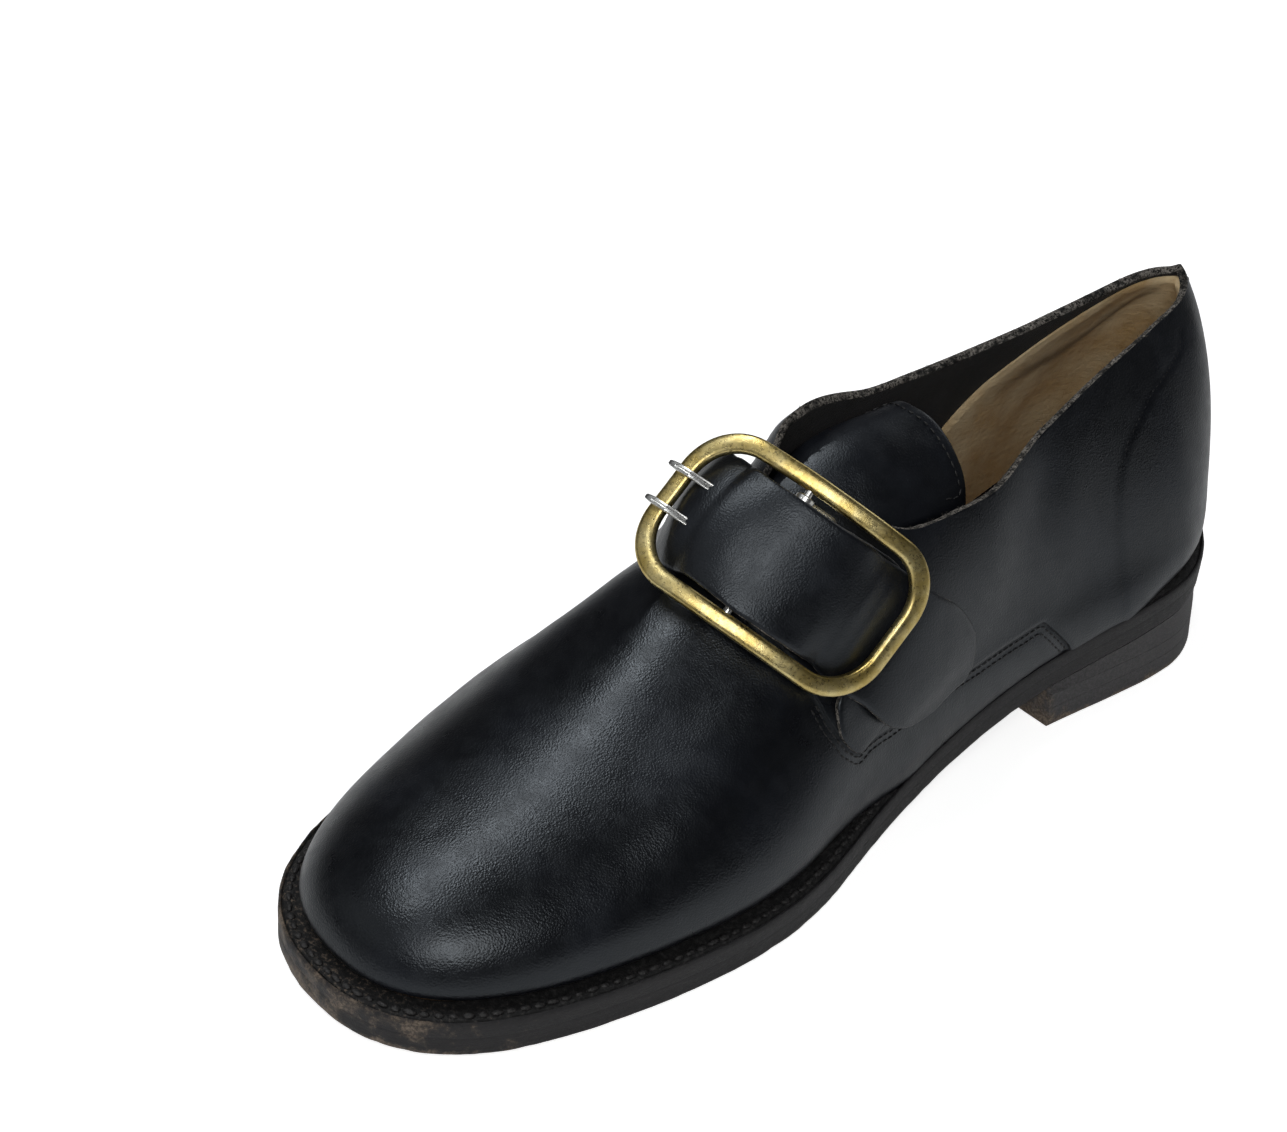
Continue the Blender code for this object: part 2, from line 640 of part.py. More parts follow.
def prong(name, middle, grow, material, collection):
    # A flat prong along the table's path, made larger all round by grow
    path = joined_rows(PRONG_COLUMNS, PRONG_PATH, 15)
    place = path["place"].copy()
    place[-1] -= grow
    half = PRONG_WIDE / 2 + grow
    deep = PRONG_THICK / 2 + grow
    points = []
    for across, height in ((-half, -deep), (half, -deep), (half, deep * 0.6), (half * 0.6, deep),
                           (-half * 0.6, deep), (-half, deep * 0.6)):
        points.append(on_frame(place, middle + across, path["height"] + height))
    points = np.stack(points, 1).reshape(-1, 3)
    faces = grid_faces(len(place), 6, wrap_columns=True)
    faces.append(tuple(range(6)))
    faces.append(tuple(range(6 * len(place) - 6, 6 * len(place))))
    return new_piece(name, points, faces, material, collection)


def build_fork(strap, material, collection, cutters):
    fork = bar_tube("buckle_fork", -HUB_HALF, HUB_HALF, HUB_BORE, HUB_RADIUS, material, collection)
    for number, middle in enumerate((-PRONG_PLACE, PRONG_PLACE), 1):
        cut_or_join(fork, as_cutter(prong(f"prong_{number}", middle, 0.0, material, cutters)), "UNION")
        cut_or_join(strap, as_cutter(prong(f"slot_{number}", middle, PRONG_SLOT, material, cutters)), "DIFFERENCE")


def build_chape(material, collection, cutters):
    # Two rings on the bar, outside the hub, standing on a plate that the under latchet is sewn to
    first = HUB_HALF + GAP
    chape = bar_tube("buckle_chape", first, CHAPE_END, HUB_BORE, CHAPE_RADIUS, material, collection)
    ring = bar_tube("chape_ring", -CHAPE_END, -first, HUB_BORE, CHAPE_RADIUS, material, cutters)
    left, right = CHAPE_PLATE
    top = CHAPE_PLATE_TOP
    low = top - CHAPE_PLATE_THICK
    points = []
    for place in np.linspace(left, right, 6):
        corners = ((-CHAPE_END, low), (CHAPE_END, low), (CHAPE_END, top), (-CHAPE_END, top))
        points.extend(on_frame(place, across, height)[0] for across, height in corners)
    faces = grid_faces(6, 4, wrap_columns=True)
    faces.extend([(0, 1, 2, 3), (20, 21, 22, 23)])
    plate = new_piece("chape_plate", points, faces, material, cutters)
    cut_or_join(chape, as_cutter(plate), "UNION")
    cut_or_join(chape, as_cutter(ring), "UNION")


def centre_on_origin(collection):
    # Move the whole shoe so that the middle of its box stands on the origin
    bpy.context.view_layer.update()
    graph = bpy.context.evaluated_depsgraph_get()
    low = np.full(3, np.inf)
    high = np.full(3, -np.inf)
    for piece in collection.objects:
        mesh = piece.evaluated_get(graph).to_mesh()
        spots = np.array([tuple(v.co) for v in mesh.vertices])
        low = np.minimum(low, spots.min(0))
        high = np.maximum(high, spots.max(0))
        piece.evaluated_get(graph).to_mesh_clear()
    shift = -(low + high) / 2
    for piece in bpy.data.objects:
        piece.location.x += shift[0]
        piece.location.y += shift[1]
    bpy.context.view_layer.update()
    return shift


def build_shoe():
    for old in list(bpy.data.objects):
        bpy.data.objects.remove(old, do_unlink=True)
    shoe = bpy.data.collections.new("buckle_shoe")
    cutters = bpy.data.collections.new("buckle_shoe_cutters")
    bpy.context.scene.collection.children.link(shoe)
    bpy.context.scene.collection.children.link(cutters)
    leather = new_material("black_waxed_leather", (0.010, 0.011, 0.013), 0.42)
    brass = new_material("aged_brass", (0.45, 0.33, 0.12), 0.3, 1.0)
    steel = new_material("bright_steel", (0.55, 0.55, 0.54), 0.28, 1.0)
    build_bottom(shoe)
    build_upper(leather, shoe)
    build_tongue(leather, shoe)
    build_latchet("latchet_under", LATCHET_UNDER, 18, leather, shoe)
    over = build_latchet("latchet_over", LATCHET_OVER, 40, leather, shoe)
    build_frame(brass, shoe)
    room = FRAME_SHORT / 2 - FRAME_WIDE - GAP
    bar_tube("buckle_bar", -room, room, 0, BAR_RADIUS, steel, shoe)
    build_fork(over, steel, shoe, cutters)
    build_chape(steel, shoe, cutters)
    return centre_on_origin(shoe)


shift = build_shoe()
print("shoe built, moved by", [round(float(v) * 1000, 2) for v in shift], "mm")
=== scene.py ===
# Black colonial buckle shoe for the left foot: leather, stitching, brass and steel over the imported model.
# Sizes are in millimetres in the shoe's own frame: x to the outer side, y from heel to toe, z up.
import bmesh
import bpy
import math
import numpy as np
from mathutils import Matrix, Vector


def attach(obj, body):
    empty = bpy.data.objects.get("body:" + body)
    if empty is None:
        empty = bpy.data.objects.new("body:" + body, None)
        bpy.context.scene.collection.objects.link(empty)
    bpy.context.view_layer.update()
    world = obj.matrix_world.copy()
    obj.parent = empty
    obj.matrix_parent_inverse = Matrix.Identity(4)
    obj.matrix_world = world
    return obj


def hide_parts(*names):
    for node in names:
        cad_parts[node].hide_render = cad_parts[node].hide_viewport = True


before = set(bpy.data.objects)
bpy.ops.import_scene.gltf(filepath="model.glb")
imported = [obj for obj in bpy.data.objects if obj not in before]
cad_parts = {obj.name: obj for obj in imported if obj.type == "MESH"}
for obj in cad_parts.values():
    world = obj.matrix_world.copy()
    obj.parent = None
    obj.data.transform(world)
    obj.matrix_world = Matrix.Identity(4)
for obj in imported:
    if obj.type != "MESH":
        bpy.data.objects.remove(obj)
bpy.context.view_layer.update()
print("frame loaded,", len(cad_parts), "nodes")

# the last and the sole outline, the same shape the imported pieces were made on
shoeSizes = {
    "length": 300.0,
    "shiftX": 1.03,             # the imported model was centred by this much
    "heelCap": 36.0,
    "toeCapStart": 229.7,
    "toeShape": 2.25,
    "shankStart": 83.5,
    "shankEnd": 180.0,
    "springStart": 210.0,
    "toeSpring": 3.0,
    "breastHeight": 12.9,
    "seatSlope": 0.116,
    "outsoleThick": 5.8,
    "weltThick": 4.2,
    "gap": 0.3,
    "ledge": 4.9,
    "throatY": 163.0,
    "wall": 2.3,
    # share of the length, half width to the outer side, half width to the inner side
    "outline": ((0.00, 33.8, 34.0), (0.13, 38.1, 34.0), (0.27, 34.8, 30.0), (0.40, 35.2, 27.0), (0.52, 41.3, 34.1),
                (0.63, 50.1, 45.4), (0.73, 50.6, 53.4), (0.83, 47.0, 49.6), (1.00, 48.1, 48.6)),
}
sectionNames = ("along", "spineY", "crestX", "crestZ", "bulgeOuter", "bulgeInner", "riseOuter", "riseInner",
                "shoulderOuter", "shoulderInner", "topOuter", "topInner")
lastSections = (
    (0.000, 20.0, 0.0, 112.0, 3.0, 3.0, 0.86, 0.86, 0.30, 0.30, 104.0, 104.0),
    (0.060, 26.0, 0.0, 109.5, 3.5, 3.5, 0.70, 0.70, 0.20, 0.20, 101.5, 103.2),
    (0.130, 42.0, 0.0, 112.0, 3.0, 3.0, 0.45, 0.45, 0.10, 0.10, 98.5, 101.0),
    (0.200, 60.0, -1.0, 114.0, 2.5, 2.5, 0.36, 0.38, 0.14, 0.18, 94.0, 97.0),
    (0.280, 85.0, -2.5, 108.0, 2.0, 2.5, 0.42, 0.55, 0.34, 0.60, 86.5, 92.0),
    (0.370, 114.0, -4.0, 99.5, 2.5, 3.5, 0.50, 0.76, 0.70, 0.95, 79.0, 91.0),
    (0.430, 137.0, -6.0, 97.0, 3.0, 3.0, 0.52, 0.78, 0.64, 0.95, 78.5, 93.5),
    (0.500, 162.0, -8.0, 85.0, 3.5, 2.5, 0.50, 0.72, 0.52, 0.84, 85.0, 85.0),
    (0.560, 183.0, -9.0, 72.0, 4.0, 3.5, 0.49, 0.66, 0.43, 0.72, 72.0, 72.0),
    (0.640, 207.0, -7.0, 57.5, 3.5, 4.0, 0.52, 0.60, 0.47, 0.62, 57.5, 57.5),
    (0.740, 235.0, -3.0, 44.5, 2.5, 2.5, 0.57, 0.54, 0.54, 0.54, 44.5, 44.5),
    (0.860, 253.0, -1.0, 38.5, 1.5, 1.5, 0.58, 0.54, 0.58, 0.56, 38.5, 38.5),
    (1.000, 261.0, 0.0, 36.0, 0.5, 0.5, 0.60, 0.60, 0.58, 0.58, 36.0, 36.0),
)


def steadyCurve(knots, values):
    # monotone cubic, so a table never overshoots between its rows
    knots, values = np.asarray(knots, float), np.asarray(values, float)
    step = np.diff(knots)
    slope = np.diff(values) / step
    tangent = np.zeros_like(values)
    for i in range(1, len(values) - 1):
        if slope[i - 1] * slope[i] > 0:
            w1 = 2 * step[i] + step[i - 1]
            w2 = step[i] + 2 * step[i - 1]
            tangent[i] = (w1 + w2) / (w1 / slope[i - 1] + w2 / slope[i])
    tangent[0], tangent[-1] = slope[0], slope[-1]

    def at(x):
        x = np.clip(np.asarray(x, float), knots[0], knots[-1])
        i = np.clip(np.searchsorted(knots, x) - 1, 0, len(step) - 1)
        h = step[i]
        u = (x - knots[i]) / h
        return (values[i] * (1 + 2 * u) * (1 - u) ** 2 + tangent[i] * h * u * (1 - u) ** 2
                + values[i + 1] * u * u * (3 - 2 * u) - tangent[i + 1] * h * u * u * (1 - u))
    return at


def naturalCurve(knots, values):
    knots, values = np.asarray(knots, float), np.asarray(values, float)
    n = len(knots)
    step = np.diff(knots)
    matrix = np.eye(n)
    right = np.zeros(n)
    for i in range(1, n - 1):
        matrix[i, i - 1:i + 2] = step[i - 1], 2 * (step[i - 1] + step[i]), step[i]
        right[i] = 6 * ((values[i + 1] - values[i]) / step[i] - (values[i] - values[i - 1]) / step[i - 1])
    second = np.linalg.solve(matrix, right)

    def at(x):
        x = np.asarray(x, float)
        i = np.clip(np.searchsorted(knots, x) - 1, 0, n - 2)
        a, b, h = knots[i + 1] - x, x - knots[i], step[i]
        return (second[i] * a ** 3 + second[i + 1] * b ** 3) / (6 * h) + (
            (values[i] / h - second[i] * h / 6) * a + (values[i + 1] / h - second[i + 1] * h / 6) * b)
    return at


outlineTable = np.array(shoeSizes["outline"], float)
halfWidth = {1: naturalCurve(outlineTable[:, 0], outlineTable[:, 1]),
             -1: naturalCurve(outlineTable[:, 0], outlineTable[:, 2])}
sectionTable = np.array(lastSections, float)
lastCurve = {name: steadyCurve(sectionTable[:, 0], sectionTable[:, k]) for k, name in enumerate(sectionNames)}


def endCaps(y):
    heel = np.clip((shoeSizes["heelCap"] - y) / shoeSizes["heelCap"], 0, 1)
    toe = np.clip((y - shoeSizes["toeCapStart"]) / (shoeSizes["length"] - shoeSizes["toeCapStart"]), 0, 1)
    power = shoeSizes["toeShape"]
    return np.sqrt(1 - heel ** 2) * (1 - toe ** power) ** (1 / power)


def soleLine(side, inset, count=481):
    # one side of the sole outline moved in by inset, heel back to toe tip
    y = shoeSizes["length"] * 0.5 * (1 - np.cos(np.pi * np.linspace(0, 1, count)))
    line = np.stack([side * halfWidth[side](y / shoeSizes["length"]) * endCaps(y), y], 1)
    tangent = np.gradient(line, axis=0)
    tangent[0], tangent[-1] = (side, 0), (-side, 0)
    tangent /= np.hypot(tangent[:, 0], tangent[:, 1])[:, None]
    moved = line - np.stack([tangent[:, 1], -tangent[:, 0]], 1) * side * inset
    moved[0, 0] = moved[-1, 0] = 0.0
    return moved


def evenly(line, shares):
    run = np.concatenate([[0], np.cumsum(np.linalg.norm(np.diff(line, axis=0), axis=1))])
    target = np.asarray(shares, float) * run[-1]
    return np.stack([np.interp(target, run, line[:, k]) for k in range(line.shape[1])], 1)


def soleUnder(y):
    # underside of the outsole: seat slope, shank curve, flat tread, toe spring
    y = np.asarray(y, float)
    s = shoeSizes
    seat = s["breastHeight"] + s["seatSlope"] * (s["shankStart"] - y)
    run = s["shankEnd"] - s["shankStart"]
    u = np.clip((y - s["shankStart"]) / run, 0, 1)
    shank = s["breastHeight"] * (1 + 2 * u) * (1 - u) ** 2 - s["seatSlope"] * run * u * (1 - u) ** 2
    spring = s["toeSpring"] * np.clip((y - s["springStart"]) / (s["length"] - s["springStart"]), 0, None) ** 2
    return np.where(y < s["shankStart"], seat, np.where(y < s["shankEnd"], shank, spring))


def weltTop(y):
    return soleUnder(y) + shoeSizes["outsoleThick"] + shoeSizes["gap"] + shoeSizes["weltThick"]


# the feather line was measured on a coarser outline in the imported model
featherLine = {side: soleLine(side, shoeSizes["ledge"], 241) for side in (1, -1)}


def wallPoints(along, side, share):
    # points on the last: share 0 at the feather line, 1 at the crest
    foot = evenly(featherLine[side], along)
    base = np.column_stack([foot, weltTop(foot[:, 1]) + shoeSizes["gap"]])
    crest = np.column_stack([lastCurve["crestX"](along), lastCurve["spineY"](along), lastCurve["crestZ"](along)])
    across = crest - base
    across[:, 2] = 0
    reach = np.linalg.norm(across, axis=1)[:, None]
    inward = across / np.maximum(reach, 1e-6)
    height = (crest[:, 2] - base[:, 2])[:, None]
    ending = "Outer" if side > 0 else "Inner"
    bulge, rise, shoulder = (lastCurve[key + ending](along)[:, None] for key in ("bulge", "rise", "shoulder"))
    wall = base - inward * bulge * 2.2 + np.array([0, 0, 1.0]) * height * rise
    brow = crest - inward * reach * shoulder
    t = np.asarray(share, float)[:, None]
    return base * (1 - t) ** 3 + 3 * wall * t * (1 - t) ** 2 + 3 * brow * t * t * (1 - t) + crest * t ** 3


def lastPoint(along, across):
    # across runs from -1 at the inner feather line over the crest at 0 to 1 at the outer one
    along = np.clip(np.asarray(along, float), 0, 1)
    across = np.asarray(across, float)
    outer = wallPoints(along, 1, 1 - np.abs(across))
    inner = wallPoints(along, -1, 1 - np.abs(across))
    return np.where(across[:, None] >= 0, outer, inner)


def lastNormal(along, across):
    step = 0.004
    inside = np.clip(np.asarray(along, float), step, 1 - step)
    across = np.asarray(across, float)
    forward = lastPoint(inside + step, across) - lastPoint(inside - step, across)
    sideways = lastPoint(inside, across + step) - lastPoint(inside, across - step)
    normal = np.cross(sideways, forward)
    atEnd = (np.asarray(along) < 1e-6) | (np.asarray(along) > 1 - 1e-6)
    normal[atEnd, 0] = 0.0                              # both sides meet in one plane at the heel and the toe
    return normal / np.linalg.norm(normal, axis=1)[:, None]


def onLast(along, across, lift=0.0):
    # straps were measured from stations inside the ends
    return lastPoint(np.clip(along, 0.004, 0.996), across) + lastNormal(along, across) * np.reshape(lift, (-1, 1))


def collarShare(along, side):
    steps = np.linspace(0, 1, 101)
    top = lastCurve["topOuter" if side > 0 else "topInner"](along)
    fine = np.linspace(0, 1, 401)
    throat = float(np.interp(shoeSizes["throatY"], lastCurve["spineY"](fine), fine))
    result = np.ones(len(along))
    for i, a in enumerate(along):
        if a < throat - 1e-6:
            result[i] = np.interp(top[i], wallPoints(np.full(101, a), side, steps)[:, 2], steps)
    return result, throat


def softNoise(points, size, seed):
    # smooth noise from -1 to 1, one lump about size wide, the same on every run
    p = np.asarray(points, float) / size + 200.0
    cell = np.floor(p).astype(np.int64)
    f = p - cell
    f = f * f * (3 - 2 * f)
    total = np.zeros(len(p))
    for corner in np.ndindex(2, 2, 2):
        c = cell + np.array(corner)
        h = (c[:, 0] * 73856093) ^ (c[:, 1] * 19349663) ^ (c[:, 2] * 83492791) ^ (seed * 2654435761)
        h = (h ^ (h >> 13)) & 0xffffffff
        h = (h * 1274126177) & 0xffffffff
        h = (h ^ (h >> 16)) & 0xffff
        total += np.prod(np.where(np.array(corner), f, 1 - f), axis=1) * (h / 32767.5 - 1)
    return total


def smoothStep(x, low, high):
    t = np.clip((x - low) / (high - low), 0, 1)
    return t * t * (3 - 2 * t)


def nearLine(points, line):
    # distance of each point to a 3-D polyline, and how far along it the nearest place lies, 0 to 1
    best = np.full(len(points), np.inf)
    place = np.zeros(len(points))
    lengths = np.linalg.norm(np.diff(line, axis=0), axis=1)
    run = np.concatenate([[0], np.cumsum(lengths)])
    for k in range(len(line) - 1):
        d = line[k + 1] - line[k]
        t = np.clip((points - line[k]) @ d / max(d @ d, 1e-12), 0, 1)
        far = np.linalg.norm(points - line[k] - t[:, None] * d, axis=1)
        closer = far < best
        best[closer] = far[closer]
        place[closer] = (run[k] + t[closer] * lengths[k]) / run[-1]
    return best, place


def insidePolygon(x, y, polygon):
    inside = np.zeros(len(x), bool)
    for (x0, y0), (x1, y1) in zip(polygon, polygon[1:] + polygon[:1]):
        crosses = (y0 > y) != (y1 > y)
        where = x0 + (y - y0) * (x1 - x0) / (y1 - y0 if y1 != y0 else 1e-12)
        inside ^= crosses & (x < where)
    return inside


def toWorld(points):
    points = np.asarray(points, float)
    return np.column_stack([points[:, 0] + shoeSizes["shiftX"], shoeSizes["length"] / 2 - points[:, 1],
                            points[:, 2]]) / 1000.0


def gridFaces(rows, columns, start=0, flip=False, wrapRows=False, wrapColumns=False):
    i = np.arange(rows if wrapRows else rows - 1)[:, None]
    j = np.arange(columns if wrapColumns else columns - 1)[None, :]
    a = i * columns + j
    b = i * columns + (j + 1) % columns
    c = ((i + 1) % rows) * columns + (j + 1) % columns
    d = ((i + 1) % rows) * columns + j
    quads = np.stack([a, d, c, b] if flip else [a, b, c, d], -1).reshape(-1, 4) + start
    return quads.tolist()


def makePiece(name, points, faces, materials, slots=None, sharp=50.0, values=None, replaces=()):
    # one closed mesh at the origin, joined where its parts meet, with its faces turned outwards
    mesh = bpy.data.meshes.new(name)
    mesh.from_pydata(toWorld(points).tolist(), [], faces)
    for material in materials:
        mesh.materials.append(material)
    if slots is not None:
        mesh.polygons.foreach_set("material_index", np.asarray(slots, np.int32))
    for key, data in (values or {}).items():
        mesh.attributes.new(key, "FLOAT", "POINT").data.foreach_set("value", np.asarray(data, np.float32))
    body = bmesh.new()
    body.from_mesh(mesh)
    bmesh.ops.remove_doubles(body, verts=body.verts, dist=0.000003)
    bmesh.ops.dissolve_degenerate(body, edges=body.edges, dist=0.000001)
    bmesh.ops.recalc_face_normals(body, faces=body.faces)
    body.to_mesh(mesh)
    body.free()
    mesh.shade_smooth()
    mesh.set_sharp_from_angle(angle=math.radians(sharp))
    piece = bpy.data.objects.new(name, mesh)
    bpy.context.scene.collection.objects.link(piece)
    if replaces:
        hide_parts(*replaces)
    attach(piece, "root")
    return piece


# materials
def colour(hexCode):
    # sRGB hex to the linear values Blender works in
    parts = [int(hexCode[i:i + 2], 16) / 255 for i in (1, 3, 5)]
    return tuple(c / 12.92 if c <= 0.04045 else ((c + 0.055) / 1.055) ** 2.4 for c in parts) + (1.0,)


def perMm(size):
    # texture scale for a feature of this many millimetres, in metres of object space
    return 1000.0 / size


def addNode(tree, kind, settings=None, links=None, **values):
    # settings are the node's own options, values its unlinked sockets, links its linked ones
    node = tree.nodes.new(kind)
    for key, value in (settings or {}).items():
        setattr(node, key, value)
    for key, value in values.items():
        name = int(key[1:]) if key[0] == "i" and key[1:].isdigit() else key.replace("_", " ")
        node.inputs[name].default_value = value
    for key, source in (links or {}).items():
        tree.links.new(source, node.inputs[key])
    return node


def startMaterial(name, baseColour, roughness, **values):
    material = bpy.data.materials.new(name)
    material.use_nodes = True
    tree = material.node_tree
    shader = tree.nodes["Principled BSDF"]
    shader.inputs["Base Color"].default_value = colour(baseColour)
    shader.inputs["Roughness"].default_value = roughness
    for key, value in values.items():
        shader.inputs[key.replace("_", " ")].default_value = value
    place = addNode(tree, "ShaderNodeTexCoord").outputs["Object"]
    return material, tree, shader, place


def noiseNode(tree, place, size, detail=3.0, rough=0.55):
    return addNode(tree, "ShaderNodeTexNoise", None, {"Vector": place}, Scale=perMm(size), Detail=detail,
                   Roughness=rough).outputs["Fac"]


def ramp(tree, source, low, high, toLow=0.0, toHigh=1.0):
    return addNode(tree, "ShaderNodeMapRange", {"interpolation_type": "SMOOTHSTEP"}, {"Value": source},
                   From_Min=low, From_Max=high, To_Min=toLow, To_Max=toHigh).outputs["Result"]


def blend(tree, factor, first, second):
    # mix of two colours, each a hex code or a socket
    node = addNode(tree, "ShaderNodeMix", {"data_type": "RGBA"}, {"Factor": factor})
    for socket, value in ((node.inputs[6], first), (node.inputs[7], second)):
        if isinstance(value, str):
            socket.default_value = colour(value)
        else:
            tree.links.new(value, socket)
    return node.outputs[2]


def maths(tree, operation, first, second=None, third=None):
    node = addNode(tree, "ShaderNodeMath", {"operation": operation})
    for socket, value in zip(node.inputs, (first, second, third)):
        if value is None:
            continue
        if isinstance(value, (int, float)):
            socket.default_value = value
        else:
            tree.links.new(value, socket)
    return node.outputs[0]


def bump(tree, height, depth, strength=1.0, below=None):
    # depth in millimetres for a height of 1
    links = {"Height": height}
    if below is not None:
        links["Normal"] = below
    return addNode(tree, "ShaderNodeBump", None, links, Strength=strength,
                   Distance=depth / 1000.0).outputs["Normal"]


def stretched(tree, place, x, y, z):
    return addNode(tree, "ShaderNodeMapping", None, {"Vector": place}, Scale=(x, y, z)).outputs["Vector"]


leatherLook = {
    "blackDeep": "#08090d", "blackWorn": "#0f1117", "roughLow": 0.27, "roughHigh": 0.36, "pore": 0.48,
    "wrinkle": 0.85, "poreDepth": 0.060, "wrinkleDepth": 0.022, "coat": 0.06, "coatRough": 0.25,
}


def waxedLeather(name, seam=False, dull=0.0):
    # full-grain cowhide, drum dyed black and waxed: a soft satin light that breaks up in fine pores
    look = leatherLook
    material, tree, shader, place = startMaterial(name, look["blackDeep"], 0.4, Coat_Weight=look["coat"],
                                                  Coat_Roughness=look["coatRough"], Specular_IOR_Level=0.5,
                                                  Specular_Tint=(0.84, 0.92, 1.0, 1.0))
    cloud = noiseNode(tree, place, 26.0, 4.0)
    patch = noiseNode(tree, place, 5.0, 3.0)
    worn = ramp(tree, cloud, 0.40, 0.68)
    base = blend(tree, worn, look["blackDeep"], look["blackWorn"])
    roughness = maths(tree, "ADD", ramp(tree, patch, 0.3, 0.7, look["roughLow"] + dull, look["roughHigh"] + dull),
                      maths(tree, "MULTIPLY", worn, 0.05))
    pores = addNode(tree, "ShaderNodeTexVoronoi", {"feature": "SMOOTH_F1"}, {"Vector": place},
                    Scale=perMm(look["pore"]), Smoothness=0.5, Randomness=1.0).outputs["Distance"]
    wrinkles = noiseNode(tree, place, look["wrinkle"], 4.0, 0.62)
    normal = bump(tree, wrinkles, look["wrinkleDepth"])
    normal = bump(tree, pores, look["poreDepth"], 1.0, normal)
    if seam:
        # signed distance to the quarter's cut edge in mm: thin pale cut, dark shadow beside it, raised panel
        edge = addNode(tree, "ShaderNodeAttribute", {"attribute_name": "seamEdge"}).outputs["Fac"]
        wavy = maths(tree, "ADD", edge, maths(tree, "MULTIPLY", maths(tree, "SUBTRACT",
                     noiseNode(tree, place, 1.6, 2.0), 0.5), 0.35))
        raised = ramp(tree, wavy, -0.35, 0.30)
        shadow = maths(tree, "MULTIPLY", ramp(tree, wavy, -1.5, -0.45), ramp(tree, wavy, -0.45, -0.2, 1.0, 0.0))
        cut = maths(tree, "MULTIPLY", ramp(tree, wavy, -0.30, -0.08), ramp(tree, wavy, 0.08, 0.35, 1.0, 0.0))
        base = blend(tree, maths(tree, "MULTIPLY", shadow, 0.85), base, "#020203")
        base = blend(tree, maths(tree, "MULTIPLY", cut, 0.75), base, "#2b2c2f")
        roughness = maths(tree, "ADD", roughness, maths(tree, "MULTIPLY", maths(tree, "ADD", shadow, cut), 0.3))
        normal = bump(tree, raised, 1.3, 1.0, normal)
    specks = ramp(tree, noiseNode(tree, place, 1.1, 1.0), 0.79, 0.84)
    base = blend(tree, maths(tree, "MULTIPLY", specks, 0.35), base, "#3c3e42")    # dust and tiny nicks
    tree.links.new(base, shader.inputs["Base Color"])
    tree.links.new(roughness, shader.inputs["Roughness"])
    tree.links.new(normal, shader.inputs["Normal"])
    return material


def fleshSide(name, first, second, fibreDepth=0.25):
    # the unfinished inner side of the hide: matt, fibrous, no gloss at all
    material, tree, shader, place = startMaterial(name, first, 0.92, Specular_IOR_Level=0.25, Sheen_Weight=0.08,
                                                  Sheen_Roughness=0.5)
    fibres = noiseNode(tree, place, 0.9, 6.0, 0.75)
    base = blend(tree, ramp(tree, noiseNode(tree, place, 7.0, 4.0), 0.35, 0.68), first, second)
    tree.links.new(base, shader.inputs["Base Color"])
    tree.links.new(bump(tree, fibres, fibreDepth), shader.inputs["Normal"])
    return material


def rawCutEdge(name):
    # knife-cut edge: black dye over grey, loose fibres that catch the light
    material, tree, shader, place = startMaterial(name, "#1d1c1c", 0.9, Specular_IOR_Level=0.3)
    fibres = noiseNode(tree, place, 0.7, 5.0, 0.8)
    patches = noiseNode(tree, place, 3.2, 3.0, 0.6)
    pale = maths(tree, "MULTIPLY", ramp(tree, fibres, 0.42, 0.60), ramp(tree, patches, 0.30, 0.58))
    tree.links.new(blend(tree, pale, "#161616", "#97918a"), shader.inputs["Base Color"])
    tree.links.new(bump(tree, fibres, 0.5), shader.inputs["Normal"])
    return material


def calfLining(name):
    # vegetable-tanned calf lining, rough side out: warm tan, brushed nap, with painted shade darkening its folds
    material, tree, shader, place = startMaterial(name, "#a88a62", 0.88, Specular_IOR_Level=0.3, Sheen_Weight=0.12,
                                                  Sheen_Roughness=0.4)
    cloud = noiseNode(tree, place, 16.0, 4.0, 0.6)
    nap = noiseNode(tree, stretched(tree, place, 1.0, 1.0, 2.6), 1.3, 6.0, 0.78)
    foldShade = addNode(tree, "ShaderNodeAttribute", {"attribute_name": "fold"}).outputs["Fac"]
    base = blend(tree, ramp(tree, cloud, 0.3, 0.7), "#d8b27a", "#f5ddb2")
    base = blend(tree, ramp(tree, nap, 0.40, 0.72, 0.0, 0.55), base, "#d6bc92")
    base = blend(tree, maths(tree, "MULTIPLY", ramp(tree, nap, 0.50, 0.28), 0.35), base, "#7d6140")
    # painted shade: the colour darkens along the lining's fold, where the crease would lie in shadow
    base = blend(tree, maths(tree, "MULTIPLY", foldShade, 0.75), base, "#6f5433")
    tree.links.new(base, shader.inputs["Base Color"])
    normal = bump(tree, noiseNode(tree, stretched(tree, place, 1.0, 1.0, 1.9), 3.4, 4.0, 0.6), 0.8)
    tree.links.new(bump(tree, nap, 0.5, 1.0, normal), shader.inputs["Normal"])
    return material


